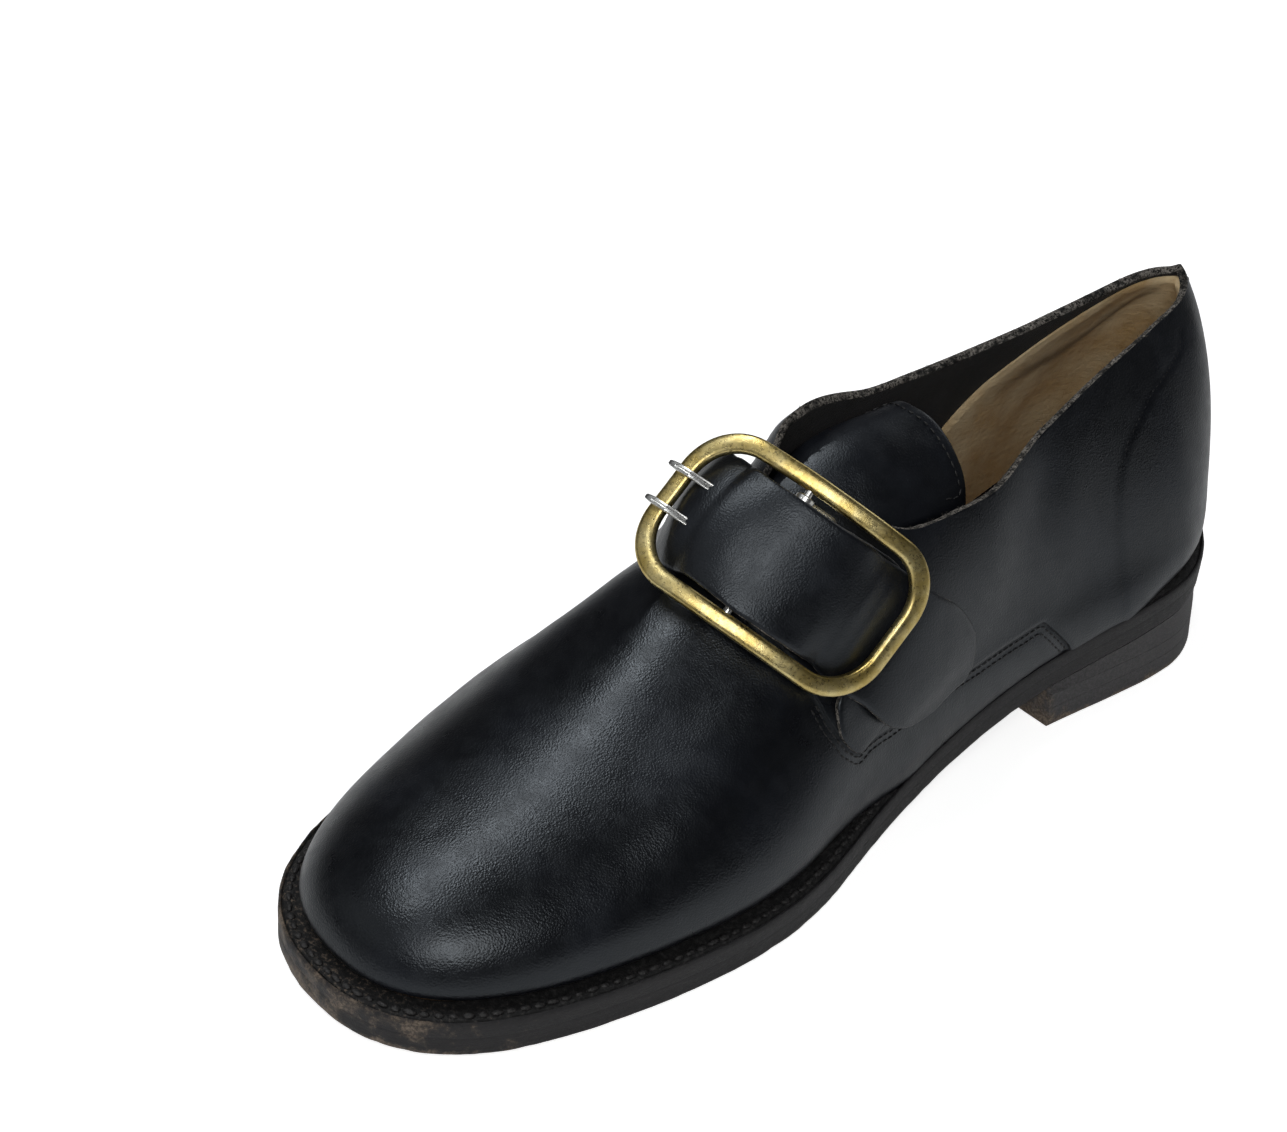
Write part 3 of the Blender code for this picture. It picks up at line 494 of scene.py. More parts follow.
def blackedEdge(name, striped=False, tread=False):
    # edge of oak-tanned sole leather: sanded, inked black and burnished, worn back to tan where it rubs
    material, tree, shader, place = startMaterial(name, "#131214", 0.6, Specular_IOR_Level=0.45)
    fine = noiseNode(tree, place, 0.8, 6.0, 0.7)
    layers = noiseNode(tree, stretched(tree, place, 0.14, 0.14, 3.0), 2.0, 5.0, 0.7)   # fibres run level
    scuff = noiseNode(tree, place, 7.5, 6.0, 0.72)
    wear = addNode(tree, "ShaderNodeAttribute", {"attribute_name": "wear"}).outputs["Fac"]
    rubbed = maths(tree, "MULTIPLY", ramp(tree, maths(tree, "ADD", scuff, maths(tree, "MULTIPLY", wear, 0.46)),
                   0.66, 0.88), ramp(tree, wear, 0.02, 0.25))
    base = blend(tree, ramp(tree, fine, 0.35, 0.75), "#343334" if striped else "#100f11",
                 "#5a585a" if striped else "#282629")
    base = blend(tree, ramp(tree, layers, 0.48, 0.75, 0.0, 0.35), base, "#4f4b48" if striped else "#3a3735")
    base = blend(tree, rubbed, base, blend(tree, ramp(tree, fine, 0.40, 0.62), "#453b32", "#827364"))
    tree.links.new(base, shader.inputs["Base Color"])
    tree.links.new(ramp(tree, fine, 0.3, 0.7, 0.48 if not tread else 0.6, 0.72 if not tread else 0.85),
                   shader.inputs["Roughness"])
    normal = bump(tree, layers, 0.06)
    normal = bump(tree, fine, 0.16, 1.0, normal)
    tree.links.new(bump(tree, scuff, 0.45, 0.8, normal), shader.inputs["Normal"])
    return material


def weltLeather(name):
    # bridle-leather welt, inked and left rough by the wheel: dull, with crumbs of wax
    material, tree, shader, place = startMaterial(name, "#0c0c0d", 0.7, Specular_IOR_Level=0.45)
    crumbs = noiseNode(tree, place, 1.2, 6.0, 0.75)
    lumps = noiseNode(tree, place, 3.0, 3.0)
    base = blend(tree, ramp(tree, crumbs, 0.45, 0.70), "#0e0e0f", "#3c3b3b")
    wear = addNode(tree, "ShaderNodeAttribute", {"attribute_name": "wear"}).outputs["Fac"]
    rubbed = maths(tree, "MULTIPLY", ramp(tree, maths(tree, "ADD", crumbs, maths(tree, "MULTIPLY", wear, 0.25)),
                   0.66, 0.82), ramp(tree, wear, 0.05, 0.4))
    base = blend(tree, rubbed, base, "#6b5d4f")
    tree.links.new(base, shader.inputs["Base Color"])
    normal = bump(tree, lumps, 0.35)
    tree.links.new(bump(tree, crumbs, 0.4, 1.0, normal), shader.inputs["Normal"])
    return material


def linenThread(name, first, second, rough=0.6):
    # waxed linen thread: dark, slightly shiny, twisted ply too fine to model, so only its bump is drawn
    material, tree, shader, place = startMaterial(name, first, rough)
    twist = noiseNode(tree, place, 0.5, 2.0)
    tree.links.new(blend(tree, ramp(tree, twist, 0.4, 0.65), first, second), shader.inputs["Base Color"])
    tree.links.new(bump(tree, twist, 0.12), shader.inputs["Normal"])
    return material


def agedBrass(name):
    # cast yellow brass, hand polished long ago: warm satin shine, brown freckles and dark pits
    material, tree, shader, place = startMaterial(name, "#cdb777", 0.3, Metallic=1.0)
    cloud = noiseNode(tree, place, 9.0, 4.0, 0.6)
    fine = noiseNode(tree, place, 0.9, 5.0, 0.7)
    freckle = addNode(tree, "ShaderNodeTexVoronoi", {"feature": "F1"}, {"Vector": place}, Scale=perMm(2.6),
                      Randomness=1.0).outputs["Distance"]
    spots = maths(tree, "MULTIPLY", ramp(tree, freckle, 0.22, 0.08), ramp(tree, cloud, 0.45, 0.62))
    base = blend(tree, ramp(tree, cloud, 0.32, 0.68), "#c0a862", "#e0cf96")
    base = blend(tree, ramp(tree, fine, 0.55, 0.75, 0.0, 0.5), base, "#94793c")
    base = blend(tree, maths(tree, "MULTIPLY", spots, 0.8), base, "#4a3a1c")
    tree.links.new(base, shader.inputs["Base Color"])
    roughness = maths(tree, "ADD", ramp(tree, fine, 0.35, 0.7, 0.26, 0.40), maths(tree, "MULTIPLY", spots, 0.3))
    tree.links.new(roughness, shader.inputs["Roughness"])
    normal = bump(tree, cloud, 0.10)
    tree.links.new(bump(tree, fine, 0.035, 1.0, normal), shader.inputs["Normal"])
    return material


def drawnSteel(name):
    # bright drawn steel wire and strip, lightly scratched along its length
    material, tree, shader, place = startMaterial(name, "#b9b9b8", 0.26, Metallic=1.0)
    fine = noiseNode(tree, place, 1.4, 3.0, 0.6)
    tree.links.new(blend(tree, ramp(tree, fine, 0.58, 0.85), "#dadad8", "#9d9b98"), shader.inputs["Base Color"])
    tree.links.new(ramp(tree, fine, 0.3, 0.7, 0.24, 0.32), shader.inputs["Roughness"])
    tree.links.new(bump(tree, fine, 0.004), shader.inputs["Normal"])
    return material


upperLeather = waxedLeather("blackWaxedLeather", seam=True)
strapLeather = waxedLeather("blackStrapLeather", dull=0.03)
blackFlesh = fleshSide("blackFleshSide", "#0b0b0c", "#17161a")
rawEdge = rawCutEdge("rawCutEdge")
liningLeather = calfLining("tanCalfLining")
insoleLeather = fleshSide("insoleLeather", "#5e452c", "#7d6142", 0.2)
soleEdge = blackedEdge("blackedSoleEdge")
heelEdge = blackedEdge("blackedHeelStack", striped=True)
treadLeather = blackedEdge("treadLeather", tread=True)
weltBlack = weltLeather("inkedWelt")
blackThread = linenThread("blackWaxedThread", "#060607", "#1a1a1c", 0.5)
weltThread = linenThread("weltThread", "#0d0c0d", "#302e2e", 0.6)
edgeFibre = linenThread("looseEdgeFibre", "#55514b", "#99938a", 0.9)
brass = agedBrass("agedBrass")
steel = drawnSteel("drawnSteel")
print("materials made,", len(bpy.data.materials))

# the upper: one hollow shell of leather drawn over the last
upperSizes = {
    "stations": 214,
    "rows": 82,
    "featherTuck": 2.4,         # the leather rolls in under itself at the welt
    "tuckShare": 0.055,
    "counterStep": 0.30,        # the heel stiffener shows as a faint step behind its stitching
    "panelStep": 0.75,          # the quarter lies over the vamp
    "waviness": 0.07,
    "rimBulge": 0.35,
    "collarLean": 4.2,
    "waistSwell": 4.3,
    "heelSwell": 2.2,
    "peak": 0.045,
    "peakReach": 0.010,
    "toeCrest": ((-3, 236, 44), (-1, 253, 38), (0, 262, 35)),
    "toeEasing": (6, 46, 420),
}
# the quarter's cut edge on the outer side: down from the buckle, corner, back along the waist, corner, to the welt
quarterEdge = ((0.560, 0.30), (0.558, 0.46), (0.557, 0.563), (0.556, 0.616), (0.552, 0.664), (0.547, 0.714),
               (0.536, 0.766), (0.526, 0.768), (0.514, 0.780), (0.494, 0.805), (0.441, 0.848), (0.388, 0.866),
               (0.359, 0.871), (0.332, 0.876), (0.309, 0.878), (0.295, 0.922), (0.279, 0.976), (0.268, 1.03))
counterEdge = ((0.092, 0.40), (0.102, 0.446), (0.126, 0.461), (0.156, 0.485), (0.184, 0.536), (0.198, 0.565),
               (0.210, 0.609), (0.218, 0.663), (0.222, 0.732), (0.222, 0.818), (0.221, 0.916), (0.216, 1.0))
# soft folds and hollows: path on the last, half width, height in mm
upperFolds = (
    (((0.585, 0.20), (0.63, 0.16), (0.68, 0.12), (0.72, 0.09)), 11.0, 0.55),
    (((0.60, -0.06), (0.66, -0.09), (0.72, -0.10)), 9.0, -0.5),
    (((0.60, -0.34), (0.68, -0.33), (0.77, -0.30)), 9.0, 0.7),
    (((0.575, 0.30), (0.62, 0.28), (0.68, 0.27), (0.73, 0.27)), 8.0, -0.6),
    (((0.580, 0.42), (0.64, 0.45), (0.70, 0.47)), 11.0, 1.7),
    (((0.585, -0.55), (0.63, -0.52), (0.69, -0.53)), 4.5, -0.45),
    (((0.30, 0.55), (0.33, 0.64), (0.345, 0.74)), 9.0, -0.5),
    (((0.255, 0.52), (0.27, 0.62), (0.275, 0.74)), 9.0, 0.3),
    (((0.36, -0.35), (0.37, -0.5), (0.38, -0.65)), 8.0, -0.5),
)


def densify(path, count=60):
    path = np.array(path, float)
    return evenly(path, np.linspace(0, 1, count))


def pathPoints(path, side=1, count=60):
    line = densify(path, count)
    return lastPoint(line[:, 0], line[:, 1] * side)


seamLine = {side: pathPoints(quarterEdge, side, 160) for side in (1, -1)}
counterLine = {side: pathPoints(counterEdge, side, 60) for side in (1, -1)}
foldLines = [(pathPoints(path, 1, 24), width, height) for path, width, height in upperFolds]
quarterArea = [tuple(p) for p in quarterEdge] + [(0.268, 1.3), (-0.2, 1.3), (-0.2, -0.4), (0.560, -0.4)]
counterArea = [tuple(p) for p in counterEdge] + [(0.216, 1.3), (-0.2, 1.3), (-0.2, 0.3), (0.06, 0.3)]


def seamDistance(along, across, points):
    # mm to the quarter's cut edge, positive on the quarter
    far = np.where(across >= 0, nearLine(points, seamLine[1])[0], nearLine(points, seamLine[-1])[0])
    return np.where(insidePolygon(np.asarray(along), np.abs(across), quarterArea), far, -far)


def collarLean(along, across):
    # the inner side's collar leans away from the foot beside the tongue
    lean = smoothStep(along, 0.31, 0.40) * (1 - smoothStep(along, 0.455, 0.490))
    return upperSizes["collarLean"] * lean * smoothStep(-across, -0.06, 0.02) * (1 - smoothStep(-across, 0.16, 0.52))


def upperRelief(along, across):
    # how far the real leather stands off the plain last, in mm
    along, across = np.asarray(along, float), np.asarray(across, float)
    points = lastPoint(along, across)
    relief = upperSizes["waviness"] * softNoise(points, 26.0, 3) + 0.015 * softNoise(points, 9.0, 4)
    for line, width, height in foldLines:
        relief += height * np.exp(-(nearLine(points, line)[0] / width) ** 2)
    edge = seamDistance(along, across, points)
    relief += upperSizes["panelStep"] * smoothStep(edge, -0.7, 0.9) * np.exp(-np.clip(edge, 0, None) / 14.0)
    relief -= 0.22 * np.exp(-((edge + 1.9) / 1.3) ** 2)
    counter = np.where(across >= 0, nearLine(points, counterLine[1])[0], nearLine(points, counterLine[-1])[0])
    behind = insidePolygon(along, np.abs(across), counterArea)
    counter = np.where(behind, counter, -counter)
    relief += upperSizes["counterStep"] * smoothStep(counter, -1.5, 1.5) * smoothStep(np.abs(across), 0.36, 0.5)
    relief -= 0.14 * np.exp(-(counter / 0.9) ** 2)
    share = 1 - np.abs(across)
    waist = smoothStep(along, 0.12, 0.22) * (1 - smoothStep(along, 0.46, 0.58))
    tuck = np.clip(1 - share / upperSizes["tuckShare"], 0, 1)
    relief -= upperSizes["featherTuck"] * tuck ** 2 * (1 - waist)
    relief += 0.25 * np.exp(-((share - 0.085) / 0.04) ** 2)                # the leather swells just above the welt
    # and hides most of it at the waist and round the heel
    swell = upperSizes["waistSwell"] * waist + upperSizes["heelSwell"] * (1 - smoothStep(along, 0.10, 0.24))
    relief += swell * np.exp(-(share / 0.12) ** 2)
    relief -= 0.5 * np.exp(-(along / 0.006) ** 2)                          # back seam
    relief += collarLean(along, across)
    return relief * smoothStep(along, -0.02, 0.0)


def onUpper(along, across, lift=0.0):
    along, across = np.asarray(along, float), np.asarray(across, float)
    return lastPoint(along, across) + lastNormal(along, across) * (upperRelief(along, across)
                                                                  + np.reshape(lift, (-1,)))[:, None]


def buildUpper():
    stations, rows, rim = upperSizes["stations"], upperSizes["rows"], 3
    along = np.linspace(0, 1, stations)
    rise = np.linspace(0, 1, rows) ** 0.96
    points, faces, slots, seam = [], [], [], []
    for side in (1, -1):
        top, throat = collarShare(along, side)
        # both quarters end in a frayed peak over the back seam
        top = top + upperSizes["peak"] * np.exp(-(along / upperSizes["peakReach"]) ** 2)
        share = np.outer(rise, top)
        alongGrid = np.broadcast_to(along, share.shape).ravel()
        across = side * (1 - share.ravel())
        last = lastPoint(alongGrid, across)
        normal = lastNormal(alongGrid, across)
        relief = upperRelief(alongGrid, across)
        outer = (last + normal * relief[:, None]).reshape(rows, stations, 3)
        lean = collarLean(alongGrid, across)
        inner = last - normal * (shoeSizes["wall"] - lean - 0.25 * np.clip(relief - lean, -1, 1))[:, None]
        inner = inner.reshape(rows, stations, 3)
        open_ = along < throat - 1e-6
        # the cut edge of the collar: slightly rounded, uneven, open only behind the throat
        upward = outer[-1] - outer[-3]
        upward /= np.maximum(np.linalg.norm(upward, axis=1), 1e-9)[:, None]
        ragged = 0.30 * softNoise(outer[-1], 2.2, 11) + 0.35 * softNoise(outer[-1], 6.0, 12)
        lip = (upperSizes["rimBulge"] + ragged) * open_
        ring = []
        for k in range(1, rim + 1):
            t = k / (rim + 1)
            ring.append(outer[-1] * (1 - t) + inner[-1] * t + upward * (lip * math.sin(math.pi * t))[:, None])
        foot = []
        for k in range(1, 3):
            t = k / 3
            foot.append(outer[0] * (1 - t) + inner[0] * t)
        start = len(points)
        sheet = np.concatenate([outer, np.stack(ring), inner[::-1], np.stack(foot[::-1])])
        count = len(sheet)
        points.extend(sheet.reshape(-1, 3))
        quads = np.array(gridFaces(count, stations, start, flip=side > 0, wrapRows=True))
        quads = quads.reshape(count, stations - 1, 4)
        keep = np.ones((count, stations - 1), bool)
        rimRows = slice(rows - 1, rows + rim)
        keep[rimRows] = (along[:-1] < throat - 1e-6)[None, :]
        slot = np.zeros((count, stations - 1), int)
        slot[rimRows] = 1
        slot[rows + rim:] = 2
        slot[-3:] = 0
        faces.extend(quads[keep].tolist())
        slots.extend(slot[keep].tolist())
        distance = seamDistance(alongGrid, across, last).reshape(rows, stations)
        seam.append(np.concatenate([distance, np.full((rim, stations), 30.0), np.full((rows, stations), 30.0),
                                    np.full((2, stations), 30.0)]).ravel())
    # the inner wall's seam values are never drawn: it has its own material
    piece = makePiece("upperShell", np.array(points), faces, [upperLeather, rawEdge, blackFlesh], slots, 60.0,
                     {"seamEdge": np.concatenate(seam)}, ["upper"])
    # the toe is one smooth dome: the crest line's end is eased out of it, less and less with the distance
    mesh = piece.data
    places = np.empty(len(mesh.vertices) * 3)
    mesh.vertices.foreach_get("co", places)
    places = places.reshape(-1, 3) * 1000
    shoePlaces = np.column_stack([places[:, 0] - shoeSizes["shiftX"], 150 - places[:, 1], places[:, 2]])
    crest = np.array(upperSizes["toeCrest"], float)
    far = nearLine(shoePlaces, crest)[0]
    near, reach, turns = upperSizes["toeEasing"]
    weight = 0.5 * (1 - smoothStep(far, near, reach))[:, None]
    ends = np.empty(len(mesh.edges) * 2, np.int32)
    mesh.edges.foreach_get("vertices", ends)
    ends = ends.reshape(-1, 2)
    ends = ends[far[ends].min(1) < reach]
    ends = np.concatenate([ends, ends[:, ::-1]])
    count = np.maximum(np.bincount(ends[:, 0], minlength=len(places)), 1)[:, None]
    for turn in range(turns):
        sums = [np.bincount(ends[:, 0], places[ends[:, 1], k], len(places)) for k in range(3)]
        places += weight * (np.stack(sums, 1) / count - places)
    mesh.vertices.foreach_set("co", (places / 1000).ravel())
    mesh.update()
    return piece


buildUpper()
print("upper built")

# the lining of the heel part, a thin tan sheet against the inside of the wall
liningSizes = {"thick": 0.9, "off": 0.12, "stations": 150, "rows": 60, "front": 0.285}
# top edge of the lining on each side: along the shoe, and how far up between feather line and collar
liningTop = steadyCurve((0.0, 0.03, 0.08, 0.13, 0.185, 0.223, 0.247, 0.269, 0.285),
                        (0.975, 0.965, 0.94, 0.90, 0.83, 0.74, 0.62, 0.48, 0.30))


def buildLining():
    stations, rows = liningSizes["stations"], liningSizes["rows"]
    run = np.linspace(-1, 1, 2 * stations - 1)
    along = np.abs(run) * liningSizes["front"]
    points, foldShade = [], []
    for k, (a, r) in enumerate(zip(along, run)):
        side = 1 if r > 0 else -1
        top = collarShare(np.array([a]), side)[0][0]
        high = float(liningTop(a)) * top
        low = 0.04 * top
        share = np.linspace(low, max(high, low + 0.02), rows)
        across = side * (1 - share)
        spots = lastPoint(np.full(rows, a), across)
        normal = lastNormal(np.full(rows, a), across)
        up = share / top
        # one long fold runs forward along the quarter, with fine wrinkles fanning from the back seam
        centre = 0.86 - 1.15 * a + 0.05 * math.sin(a * 40)
        fold = np.exp(-((up - centre) / 0.045) ** 2) * smoothStep(a, 0.015, 0.06) * smoothStep(a, 0.235, 0.16)
        wave = 0.30 * softNoise(spots * np.array([1, 1, 0.35]), 4.5, 21) + 0.45 * softNoise(spots, 13.0, 22)
        wave += 0.16 * softNoise(spots * np.array([1, 1, 0.25]), 2.0, 23)
        depth = liningSizes["off"] + liningSizes["thick"] + 0.55 + wave * 0.55 + 0.5 * fold
        edge = np.clip((share[-1] - share) / 0.02, 0, 1)
        depth = shoeSizes["wall"] + np.clip(depth * (0.45 + 0.55 * edge), 0.25, None)
        outerFace = spots - normal * (shoeSizes["wall"] + liningSizes["off"])
        points.append(np.concatenate([outerFace, (spots - normal * depth[:, None])[::-1]]))
        # the fold's strength is kept so the lining material can paint shade along it
        foldShade.append(np.concatenate([np.zeros(rows), fold[::-1]]))
    grid = np.stack(points)
    faces = gridFaces(len(run), 2 * rows, wrapColumns=True)
    last = (len(run) - 1) * 2 * rows
    for k in range(rows - 1):
        faces.append([k, k + 1, 2 * rows - 2 - k, 2 * rows - 1 - k])
        faces.append([last + k, last + 2 * rows - 1 - k, last + 2 * rows - 2 - k, last + k + 1])
    return makePiece("quarterLining", grid.reshape(-1, 3), faces, [liningLeather], None, 60.0,
                     {"fold": np.concatenate(foldShade)})


buildLining()
print("lining built")


# leather straps and the tongue: slabs with rounded, cut edges
def leatherSlab(name, outer, thick, materials, replaces, bevel=0.45, endBevel=True, values=None):
    # outer is a grid of points, station by station; the slab grows to its inner side
    stations, columns = outer.shape[:2]
    forward = np.gradient(outer, axis=0)
    sideways = np.gradient(outer, axis=1)
    normal = np.cross(sideways, forward)
    normal /= np.maximum(np.linalg.norm(normal, axis=2), 1e-9)[:, :, None]
    across = np.concatenate([np.zeros((stations, 1)), np.cumsum(np.linalg.norm(np.diff(outer, axis=1), axis=2), 1)], 1)
    toSide = np.minimum(across, across[:, -1:] - across)
    lengthways = np.concatenate([np.zeros((1, columns)), np.cumsum(np.linalg.norm(np.diff(outer, axis=0), axis=2), 0)])
    toEnd = np.minimum(lengthways, lengthways[-1:] - lengthways) if endBevel else np.full(toSide.shape, 9.0)
    rounding = bevel * (np.clip(1 - toSide / (2 * bevel), 0, 1) ** 2 + np.clip(1 - toEnd / (2 * bevel), 0, 1) ** 2)
    rounding = np.minimum(rounding, bevel)[:, :, None]
    top = outer - normal * rounding
    low = outer - normal * (thick - rounding)
    middle = outer - normal * thick / 2
    ragged = 0.16 * softNoise(middle.reshape(-1, 3), 1.5, 31).reshape(stations, columns, 1)
    sideStep = sideways / np.maximum(np.linalg.norm(sideways, axis=2), 1e-9)[:, :, None]
    first = middle[:, :1] - sideStep[:, :1] * (0.12 + ragged[:, :1])
    final = middle[:, -1:] + sideStep[:, -1:] * (0.12 + ragged[:, -1:])
    ring = np.concatenate([top, final, low[:, ::-1], first], 1)
    width = ring.shape[1]
    faces = np.array(gridFaces(stations, width, wrapColumns=True)).reshape(stations - 1, width, 4)
    slots = np.full((stations - 1, width), 2)
    slots[:, :columns - 1] = 0
    slots[:, columns - 1:columns + 1] = 1
    slots[:, -2:] = 1
    faces = faces.reshape(-1, 4).tolist()
    slots = slots.ravel().tolist()
    for base in (0, (stations - 1) * width):
        # the cap: top row, ends, low row, meeting in quads
        for k in range(columns - 1):
            faces.append([base + k, base + k + 1, base + 2 * columns - k - 1, base + 2 * columns - k])
            slots.append(1)
        faces.append([base + columns - 1, base + columns, base + columns + 1])
        faces.append([base + width - 1, base, base + 2 * columns])
        slots.extend([1, 1])
    return makePiece(name, ring.reshape(-1, 3), faces, materials, slots, 50.0, values, replaces)


def joinedRows(rows, count):
    knots = np.linspace(0, 1, len(rows))
    data = np.array(rows, float)
    at = np.linspace(0, 1, count)
    return [steadyCurve(knots, data[:, k])(at) for k in range(data.shape[1])]


def edgeSpacing(columns):
    # close together at both edges, so the rounding has points to bend on
    inner = np.linspace(0.03, 0.97, columns - 4)
    return np.concatenate([[0, 0.012], inner, [0.988, 1]])


# rear along, across, lift; front along, across, lift; extra height in between
overLatchet = {
    "thick": 2.2,
    "rows": (
        (0.462, -0.80, -1.2, 0.558, -0.80, -1.2, 0.0), (0.466, -0.72, 0.6, 0.558, -0.72, 0.4, 0.0),
        (0.470, -0.64, 2.2, 0.557, -0.64, 2.0, 0.0), (0.478, -0.50, 2.9, 0.557, -0.50, 2.5, 0.0),
        (0.486, -0.36, 4.5, 0.558, -0.34, 2.8, 0.4), (0.494, -0.24, 7.8, 0.563, -0.24, 3.0, 1.2),
        (0.498, -0.17, 10.2, 0.569, -0.16, 3.4, 2.0), (0.498, -0.10, 11.1, 0.574, -0.09, 4.7, 3.1),
        (0.498, -0.04, 11.6, 0.574, -0.02, 5.5, 4.6), (0.496, 0.00, 11.5, 0.574, 0.02, 6.0, 5.0),
        (0.498, 0.03, 13.7, 0.574, 0.07, 8.9, 3.1), (0.500, 0.10, 15.5, 0.575, 0.15, 11.3, 1.0),
        (0.498, 0.17, 16.2, 0.575, 0.22, 12.0, 0.0), (0.492, 0.26, 15.3, 0.570, 0.32, 10.8, 0.0),
        (0.482, 0.34, 12.5, 0.560, 0.41, 7.7, 1.0), (0.474, 0.40, 8.6, 0.551, 0.47, 3.6, 3.1),
        (0.468, 0.44, 7.7, 0.548, 0.52, 2.6, 2.2), (0.460, 0.50, 7.8, 0.540, 0.58, 2.8, 0.0),
        (0.446, 0.57, 7.0, 0.530, 0.64, 3.3, 0.7), (0.427, 0.64, 5.9, 0.522, 0.69, 3.7, 0.9),
        (0.415, 0.70, 5.4, 0.513, 0.74, 3.9, 0.9), (0.409, 0.75, 5.3, 0.502, 0.78, 4.1, 0.7),
        (0.410, 0.80, 5.2, 0.484, 0.815, 4.3, 0.2), (0.421, 0.835, 5.2, 0.458, 0.838, 4.7, 0.0)),
}
underLatchet = {
    "thick": 1.9,
    "rows": (
        (0.494, 0.18, 7.1, 0.520, 0.21, 5.6, 0.0), (0.486, 0.26, 6.8, 0.514, 0.29, 5.2, 0.0),
        (0.478, 0.34, 6.2, 0.508, 0.38, 4.5, 0.0), (0.468, 0.42, 5.3, 0.506, 0.46, 3.6, 0.0),
        (0.460, 0.50, 4.6, 0.520, 0.54, 2.4, 0.0), (0.446, 0.58, 3.5, 0.548, 0.60, 2.2, -0.6),
        (0.434, 0.66, 2.4, 0.552, 0.664, 1.5, -0.4), (0.424, 0.72, 1.2, 0.547, 0.714, 1.1, 0.0),
        (0.418, 0.77, 0.2, 0.537, 0.762, 0.9, 0.0), (0.414, 0.80, -0.6, 0.528, 0.775, -0.2, 0.0)),
}


def strapGrid(rows, stations, columns, roughen):
    rearAlong, rearAcross, rearLift, frontAlong, frontAcross, frontLift, crown = joinedRows(rows, stations)
    points = []
    for mix in edgeSpacing(columns):
        along = rearAlong * (1 - mix) + frontAlong * mix
        across = rearAcross * (1 - mix) + frontAcross * mix
        lift = rearLift * (1 - mix) + frontLift * mix + crown * 4 * mix * (1 - mix)
        points.append(onLast(along, across, lift))
    grid = np.stack(points[::-1], 1)                    # front edge first, so the slab grows towards the foot
    flat = grid.reshape(-1, 3)
    lift = roughen * softNoise(flat, 11.0, 41) + 0.4 * roughen * softNoise(flat, 4.0, 42)
    return grid + (lift[:, None] * np.array([0.35, -0.35, 0.87])).reshape(grid.shape)


leatherSlab("latchetOver", strapGrid(overLatchet["rows"], 230, 44, 0.14), overLatchet["thick"],
            [strapLeather, rawEdge, blackFlesh], ["latchet_over"])
leatherSlab("latchetUnder", strapGrid(underLatchet["rows"], 110, 36, 0.10), underLatchet["thick"],
            [strapLeather, rawEdge, blackFlesh], ["latchet_under"])

tongueSizes = {"thick": 2.0, "root": 172.0, "end": 113.0, "outerHalf": (26.0, 40.0), "innerHalf": (25.0, 16.0),
               "clear": 1.3, "sag": 2.0}


def crestAcross(along, side, distance):
    share = np.linspace(1, 0.2, 60)
    result = []
    for a, far in zip(along, distance):
        line = wallPoints(np.full(60, a), side, share)
        run = np.concatenate([[0], np.cumsum(np.linalg.norm(np.diff(line, axis=0), axis=1))])
        result.append(side * (1 - np.interp(far, run, share)))
    return np.array(result)


def tonguePoints(share, mix, lift=0.0):
    # share 0 at the hidden root, 1 at the cut end; mix 0 inner edge, 1 outer edge
    s = tongueSizes
    fine = np.linspace(0, 1, 801)
    spine = lastCurve["spineY"](fine)
    ends = np.interp([s["root"], s["end"]], spine, fine)
    along = ends[0] + (ends[1] - ends[0]) * share
    # the end is cut to a soft curve with rounded corners
    edge = np.abs(mix - 0.5) * 2
    along = along + np.clip(share - 0.9, 0, 1) / 0.1 * 0.010 * np.clip((edge - 0.62) / 0.38, 0, 1) ** 2
    outerHalf, innerHalf = (s[k][0] + (s[k][1] - s[k][0]) * share for k in ("outerHalf", "innerHalf"))
    outer, inner = crestAcross(along, 1, outerHalf), crestAcross(along, -1, innerHalf)
    depth = -(shoeSizes["wall"] + s["clear"]) - s["sag"] * share ** 1.5 + lift
    return onLast(along, inner * (1 - mix) + outer * mix, depth)


def buildTongue():
    shares = np.concatenate([np.linspace(0, 0.97, 74), [0.985, 0.994, 1.0]])
    mixes = edgeSpacing(46)
    grid = np.stack([tonguePoints(shares, np.full(len(shares), m)) for m in mixes], 1)
    flat = grid.reshape(-1, 3)
    grid = grid + (0.28 * softNoise(flat, 14.0, 51) + 0.1 * softNoise(flat, 5.0, 52)).reshape(grid.shape[:2])[:, :, None] \
        * np.array([0, 0, 1.0])
    return leatherSlab("tonguePiece", grid[:, ::-1], tongueSizes["thick"], [strapLeather, rawEdge, blackFlesh],
                       ["tongue"])


buildTongue()
print("latchets and tongue built")


# bottom work: outsole, welt, insole and heel, each a slab built from rings of its outline
def closedOutline(inset, count, breast=None):
    # points around the sole or, with breast, around the heel: outer side first, then the inner side back
    outer, inner = soleLine(1, inset), soleLine(-1, inset)
    if breast is not None:
        parts = []
        for line in (outer, inner):
            keep = line[line[:, 1] < breast]
            x = np.interp(breast, line[:, 1], line[:, 0])
            parts.append(np.vstack([keep, [x, breast]]))
        outer, inner = parts
        rim = np.vstack([outer[::-1], inner[1:]])
        around = evenly(rim, np.linspace(0, 1, count))
        bridge = np.linspace(inner[-1], outer[-1], 26)[1:-1]
        return np.vstack([around, bridge])
    loop = np.vstack([outer, inner[::-1][1:-1]])
    loop = np.vstack([loop, loop[:1]])
    return evenly(loop, np.linspace(0, 1, count + 1))[:-1]


def outlineNormals(loop):
    ahead, behind = np.roll(loop, -1, 0), np.roll(loop, 1, 0)
    t = ahead - behind
    t /= np.maximum(np.hypot(t[:, 0], t[:, 1]), 1e-9)[:, None]
    n = np.stack([t[:, 1], -t[:, 0]], 1)
    middle = loop.mean(0)
    return n if ((loop - middle) * n).sum() > 0 else -n


